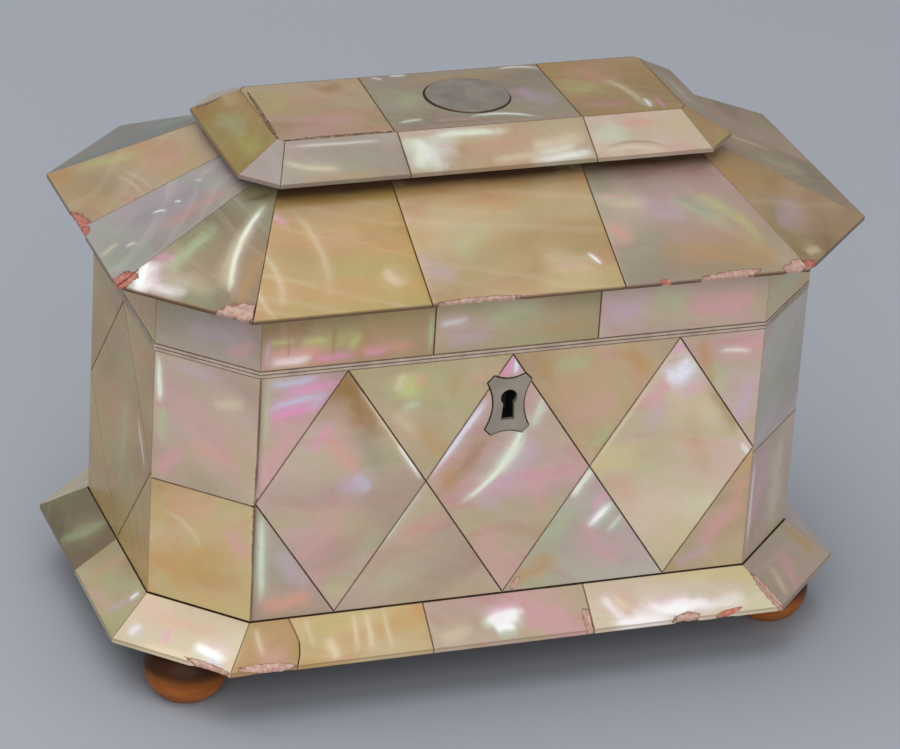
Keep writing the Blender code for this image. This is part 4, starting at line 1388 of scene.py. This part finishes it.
def plate_outline(face):
    """The plate's eight points: concave sides and ends, and four corners cut off straight."""
    wide = max(p.x for p in face.outline)
    high = face.height / 2
    end, side = wide - PLATE_TIP, high - PLATE_TIP
    ring = []
    for first, last, curve in (
        ((wide, -side), (wide, side), PLATE_SIDE_CURVE),
        ((end, high), (-end, high), PLATE_END_CURVE),
        ((-wide, side), (-wide, -side), PLATE_SIDE_CURVE),
        ((-end, -high), (end, -high), PLATE_END_CURVE),
    ):
        ring += [*bowed(Vector(first), Vector(last), curve), Vector(last)]
    return [point + Vector((0, high)) for point in ring]


def keyhole_outline(face):
    shoulder = math.asin(KEYHOLE_SLOT_TOP / 2 / KEYHOLE_RADIUS)
    ring = []
    for step in range(KEYHOLE_STEPS + 1):
        angle = -math.pi / 2 + shoulder + 2 * (math.pi - shoulder) * step / KEYHOLE_STEPS
        ring.append(Vector((math.cos(angle), math.sin(angle))) * KEYHOLE_RADIUS)
    ring.append(Vector((-KEYHOLE_SLOT_FOOT / 2, -KEYHOLE_SLOT_DROP)))
    ring.append(Vector((KEYHOLE_SLOT_FOOT / 2, -KEYHOLE_SLOT_DROP)))
    return [point + Vector((0, face.height / 2 + KEYHOLE_RISE)) for point in ring]


def circle(radius, middle, sides):
    turns = [2 * math.pi * k / sides for k in range(sides)]
    return [middle + Vector((math.cos(turn), math.sin(turn))) * radius for turn in turns]


def prism(face, loop):
    """A cutter with an outline on a facet, from above the facet down into it."""
    bm = bmesh.new()
    low, high = ([bm.verts.new(place(face, p, level)) for p in loop] for level in (CUT_DEPTH, -CUT_ABOVE))
    join_rings(bm, low, high)
    bm.faces.new(low[::-1])
    bm.faces.new(high)
    bmesh.ops.recalc_face_normals(bm, faces=bm.faces)
    mesh = bpy.data.meshes.new("cutter")
    bm.to_mesh(mesh)
    bm.free()
    return add_object("cutter", mesh)


def cut_away(names, cutter):
    """Takes a cutter out of pieces and removes it."""
    for name in names:
        obj = bpy.data.objects[name]
        modifier = obj.modifiers.new("cut", "BOOLEAN")
        modifier.object = cutter
        modifier.solver = "EXACT"
        graph = bpy.context.evaluated_depsgraph_get()
        cut = bpy.data.meshes.new_from_object(obj.evaluated_get(graph))
        obj.modifiers.clear()
        whole = obj.data
        obj.data = cut
        bpy.data.meshes.remove(whole)
        cut.name = name
        cut.set_sharp_from_angle(angle=SHARP_ANGLE)
    mesh = cutter.data
    bpy.data.objects.remove(cutter)
    bpy.data.meshes.remove(mesh)


def metal_slab(name, face, outline, seed, mat, step):
    """A thin plate, slightly uneven."""

    def relief(point, edge):
        here = place(face, point, 0.0) / METAL_WAVE_LENGTH + Vector((seed, 0, 0))
        return METAL_WAVE * (0.5 + 0.5 * noise.noise(here))

    return slab(name, face, outline, relief, mat, step, METAL_RINGS)


def make_key_plate():
    """The plate round the keyhole, and its bed in the three plaques that it overlaps."""
    face = facet("key_plate")
    outline = plate_outline(face)
    beds = ("body_front_plaque_2", "body_front_plaque_9", "body_front_plaque_10")
    cut_away(beds, prism(face, grown(outline, BED_GAP)))
    plate = metal_slab("escutcheon", face, outline, 3, silver("plate_metal", PLATE_METAL), PLATE_STEP)
    cut_away(("escutcheon",), prism(face, keyhole_outline(face)))
    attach(plate, "case")
    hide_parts("key_plate")


def make_top_plate():
    """The round plate in the top, and its bed."""
    face = facet("top_disc")
    radius = face.height / 2
    middle = Vector((0, radius))
    bed = circle(radius + DISC_BED_GAP, middle + DISC_BED_SHIFT, DISC_SIDES)
    cut_away(("cap_top_plaque_2",), prism(face, bed))
    outline = circle(radius, middle, DISC_SIDES)
    disc = metal_slab("top_plate", face, outline, 8, silver("disc_metal", SHADED_DISC_METAL), DISC_STEP)
    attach(disc, "lid")
    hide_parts("top_disc")


def silver(name, colours):
    """Worn silver-grey metal, gone dull, with fine rubbed scratches."""
    mat, nodes, shader = new_material(name)
    here = nodes.here()
    colour = nodes.drift(nodes.noise(here, 150.0, 3.0), colours)
    stain = nodes.times(nodes.between(nodes.rim(), 0.6, 1.0), 0.75)
    colour = nodes.mix(stain, colour, srgb(METAL_DIRT))
    scratch = nodes.noise(nodes.mapped(here, Scale=(1.0, 9.0, 5.0)), 420.0, 3.0, 0.7)
    rough = nodes.plus(nodes.times(scratch, 0.2), 0.28)
    relief = nodes.bump(scratch, 0.1, 0.1 * MM)
    nodes.set(shader, {"Base Color": colour, "Roughness": rough, "Normal": relief, "Metallic": 0.5})
    return mat


# Feet


def foot_profile(radius, height):
    """Up the outer side of a squat bun that is cut flat above and below."""
    top_angle = math.acos(FOOT_TOP_SHARE)
    base_angle = -math.acos(FOOT_BASE_SHARE)
    half_height = height / (math.sin(top_angle) - math.sin(base_angle))
    middle = -half_height * math.sin(base_angle)
    points = []
    for step in range(FOOT_STEPS + 1):
        angle = base_angle + (top_angle - base_angle) * step / FOOT_STEPS
        points.append((radius * math.cos(angle), middle + half_height * math.sin(angle)))
    return points


def make_foot(node_name, mat):
    low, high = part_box(node_name)
    middle = (Vector(low) + Vector(high)) / 2
    bm = bmesh.new()
    rings = []
    for width, height in foot_profile((high[0] - low[0]) / 2, high[2] - low[2]):
        ring = circle(width, middle.xy, FOOT_SIDES)
        rings.append([bm.verts.new((*point, low[2] + height)) for point in ring])
    for lower, upper in zip(rings, rings[1:]):
        join_rings(bm, lower, upper)
    bm.faces.new(rings[0][::-1])
    bm.faces.new(rings[-1])
    foot = finished(node_name.replace("foot", "bun"), bm, mat)
    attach(foot, "case")
    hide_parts(node_name)


def polished_wood():
    """Orange-brown wood, darkened at the top of each foot by painted shade under the plinth."""
    mat, nodes, shader = new_material("polished_wood")
    here = nodes.here()
    grain = nodes.noise(nodes.mapped(here, Scale=(0.3, 1.0, 1.6)), 260.0, 4.0, 0.6, 0.1)
    colour = nodes.drift(grain, FOOT_WOOD)
    height = nodes.add("SeparateXYZ", {"Vector": here})["Z"]
    # painted shade under the plinth, over the top of each foot
    dark = nodes.times(nodes.between(height, FOOT_SHADE_FROM, FOOT_SHADE_TO), 0.92)
    colour = nodes.mix(dark, colour, srgb(FOOT_SHADE))
    nodes.set(shader, {"Base Color": colour, "Roughness": 0.4, "Specular IOR Level": 0.1})
    return mat


# Wood, strings and brass


def wood_inside(nodes, here):
    """1 for the hollow of the box and of the lid, 0 for the outer wood that lies under the shell."""
    parts = nodes.add("SeparateXYZ", {"Vector": here})
    across = nodes.math("ABSOLUTE", parts["X"])
    deep = nodes.math("ABSOLUTE", parts["Y"])
    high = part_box("case")[1]
    reach = nodes.math("MAXIMUM", nodes.math("DIVIDE", across, high.x), nodes.math("DIVIDE", deep, high.y))
    corner = nodes.math("DIVIDE", nodes.plus(across, deep), high.x + high.y - BODY_CORNER_CUT)
    return nodes.between(nodes.math("MAXIMUM", reach, corner), OUTER_SHARE, INNER_SHARE)


def carcass_wood():
    """Close-grained wood, planed inside the box, dark with old glue under the shell, and black with
    painted shade in and round the keyhole.
    """
    mat, nodes, shader = new_material("cedar")
    here = nodes.here()
    drawn = nodes.mapped(here, Scale=(0.12, 1.0, 1.0))
    grain = nodes.noise(drawn, 400.0, 5.0, 0.6, 1.0)
    fine = nodes.noise(drawn, 1500.0)
    colour = nodes.drift(grain, PLANED_WOOD)
    pores = nodes.times(nodes.between(fine, 0.55, 0.75), 0.35)
    colour = nodes.mix(pores, colour, srgb(PLANED_WOOD[0]))
    colour = nodes.mix(wood_inside(nodes, here), nodes.drift(grain, OLD_GLUE, 0.35, 0.65), colour)
    # painted shade: the wood goes nearly black round the keyhole
    low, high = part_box("key_plate")
    from_keyhole = nodes.vector("DISTANCE", here, (low + high) / 2)["Value"]
    near = nodes.between(from_keyhole, KEYHOLE_SHADE_REACH_END, KEYHOLE_SHADE_REACH)
    colour = nodes.mix(near, colour, srgb(KEYHOLE_SHADE))
    relief = nodes.bump(grain, 0.15, 0.2 * MM)
    nodes.set(shader, {"Base Color": colour, "Normal": relief, "Roughness": 0.55})
    return mat


def pale_string():
    mat, nodes, shader = new_material("pale_string")
    colour = nodes.drift(nodes.noise(nodes.here(), 190.0, 3.0, 0.6), STRING)
    nodes.set(shader, {"Base Color": colour, "Roughness": 0.4})
    return mat


def old_brass():
    mat, nodes, shader = new_material("old_brass")
    cloud = nodes.noise(nodes.here(), 350.0, 4.0, 0.6)
    colour = nodes.drift(cloud, BRASS, 0.35, 0.65)
    rough = nodes.plus(nodes.times(cloud, 0.25), 0.2)
    nodes.set(shader, {"Base Color": colour, "Roughness": rough, "Metallic": 0.9})
    return mat


def paint(node_names, mat):
    for name in node_names:
        mesh = frame["nodes"][name].data
        mesh.materials.clear()
        mesh.materials.append(mat)


def dress_cad_nodes():
    """Materials of the pieces that keep their solid."""
    parts = ("case_leaf", "lid_leaf", "pin")
    hinges = [f"{side}_hinge_{part}" for side in ("left", "right") for part in parts]
    paint(("case", "plinth", "lid", "cap"), carcass_wood())
    paint(("case_rim", "lid_rim"), pale_string())
    paint(hinges, old_brass())


make_studio()
make_floor()
for band in BODY_OF_BAND:
    for face_name in FACES:
        make_plaques(band, face_name)
make_plaques("cap", "top")
make_key_plate()
make_top_plate()
bun_wood = polished_wood()
for end in ("front", "back"):
    for side in ("left", "right"):
        make_foot(f"{end}_{side}_foot", bun_wood)
dress_cad_nodes()
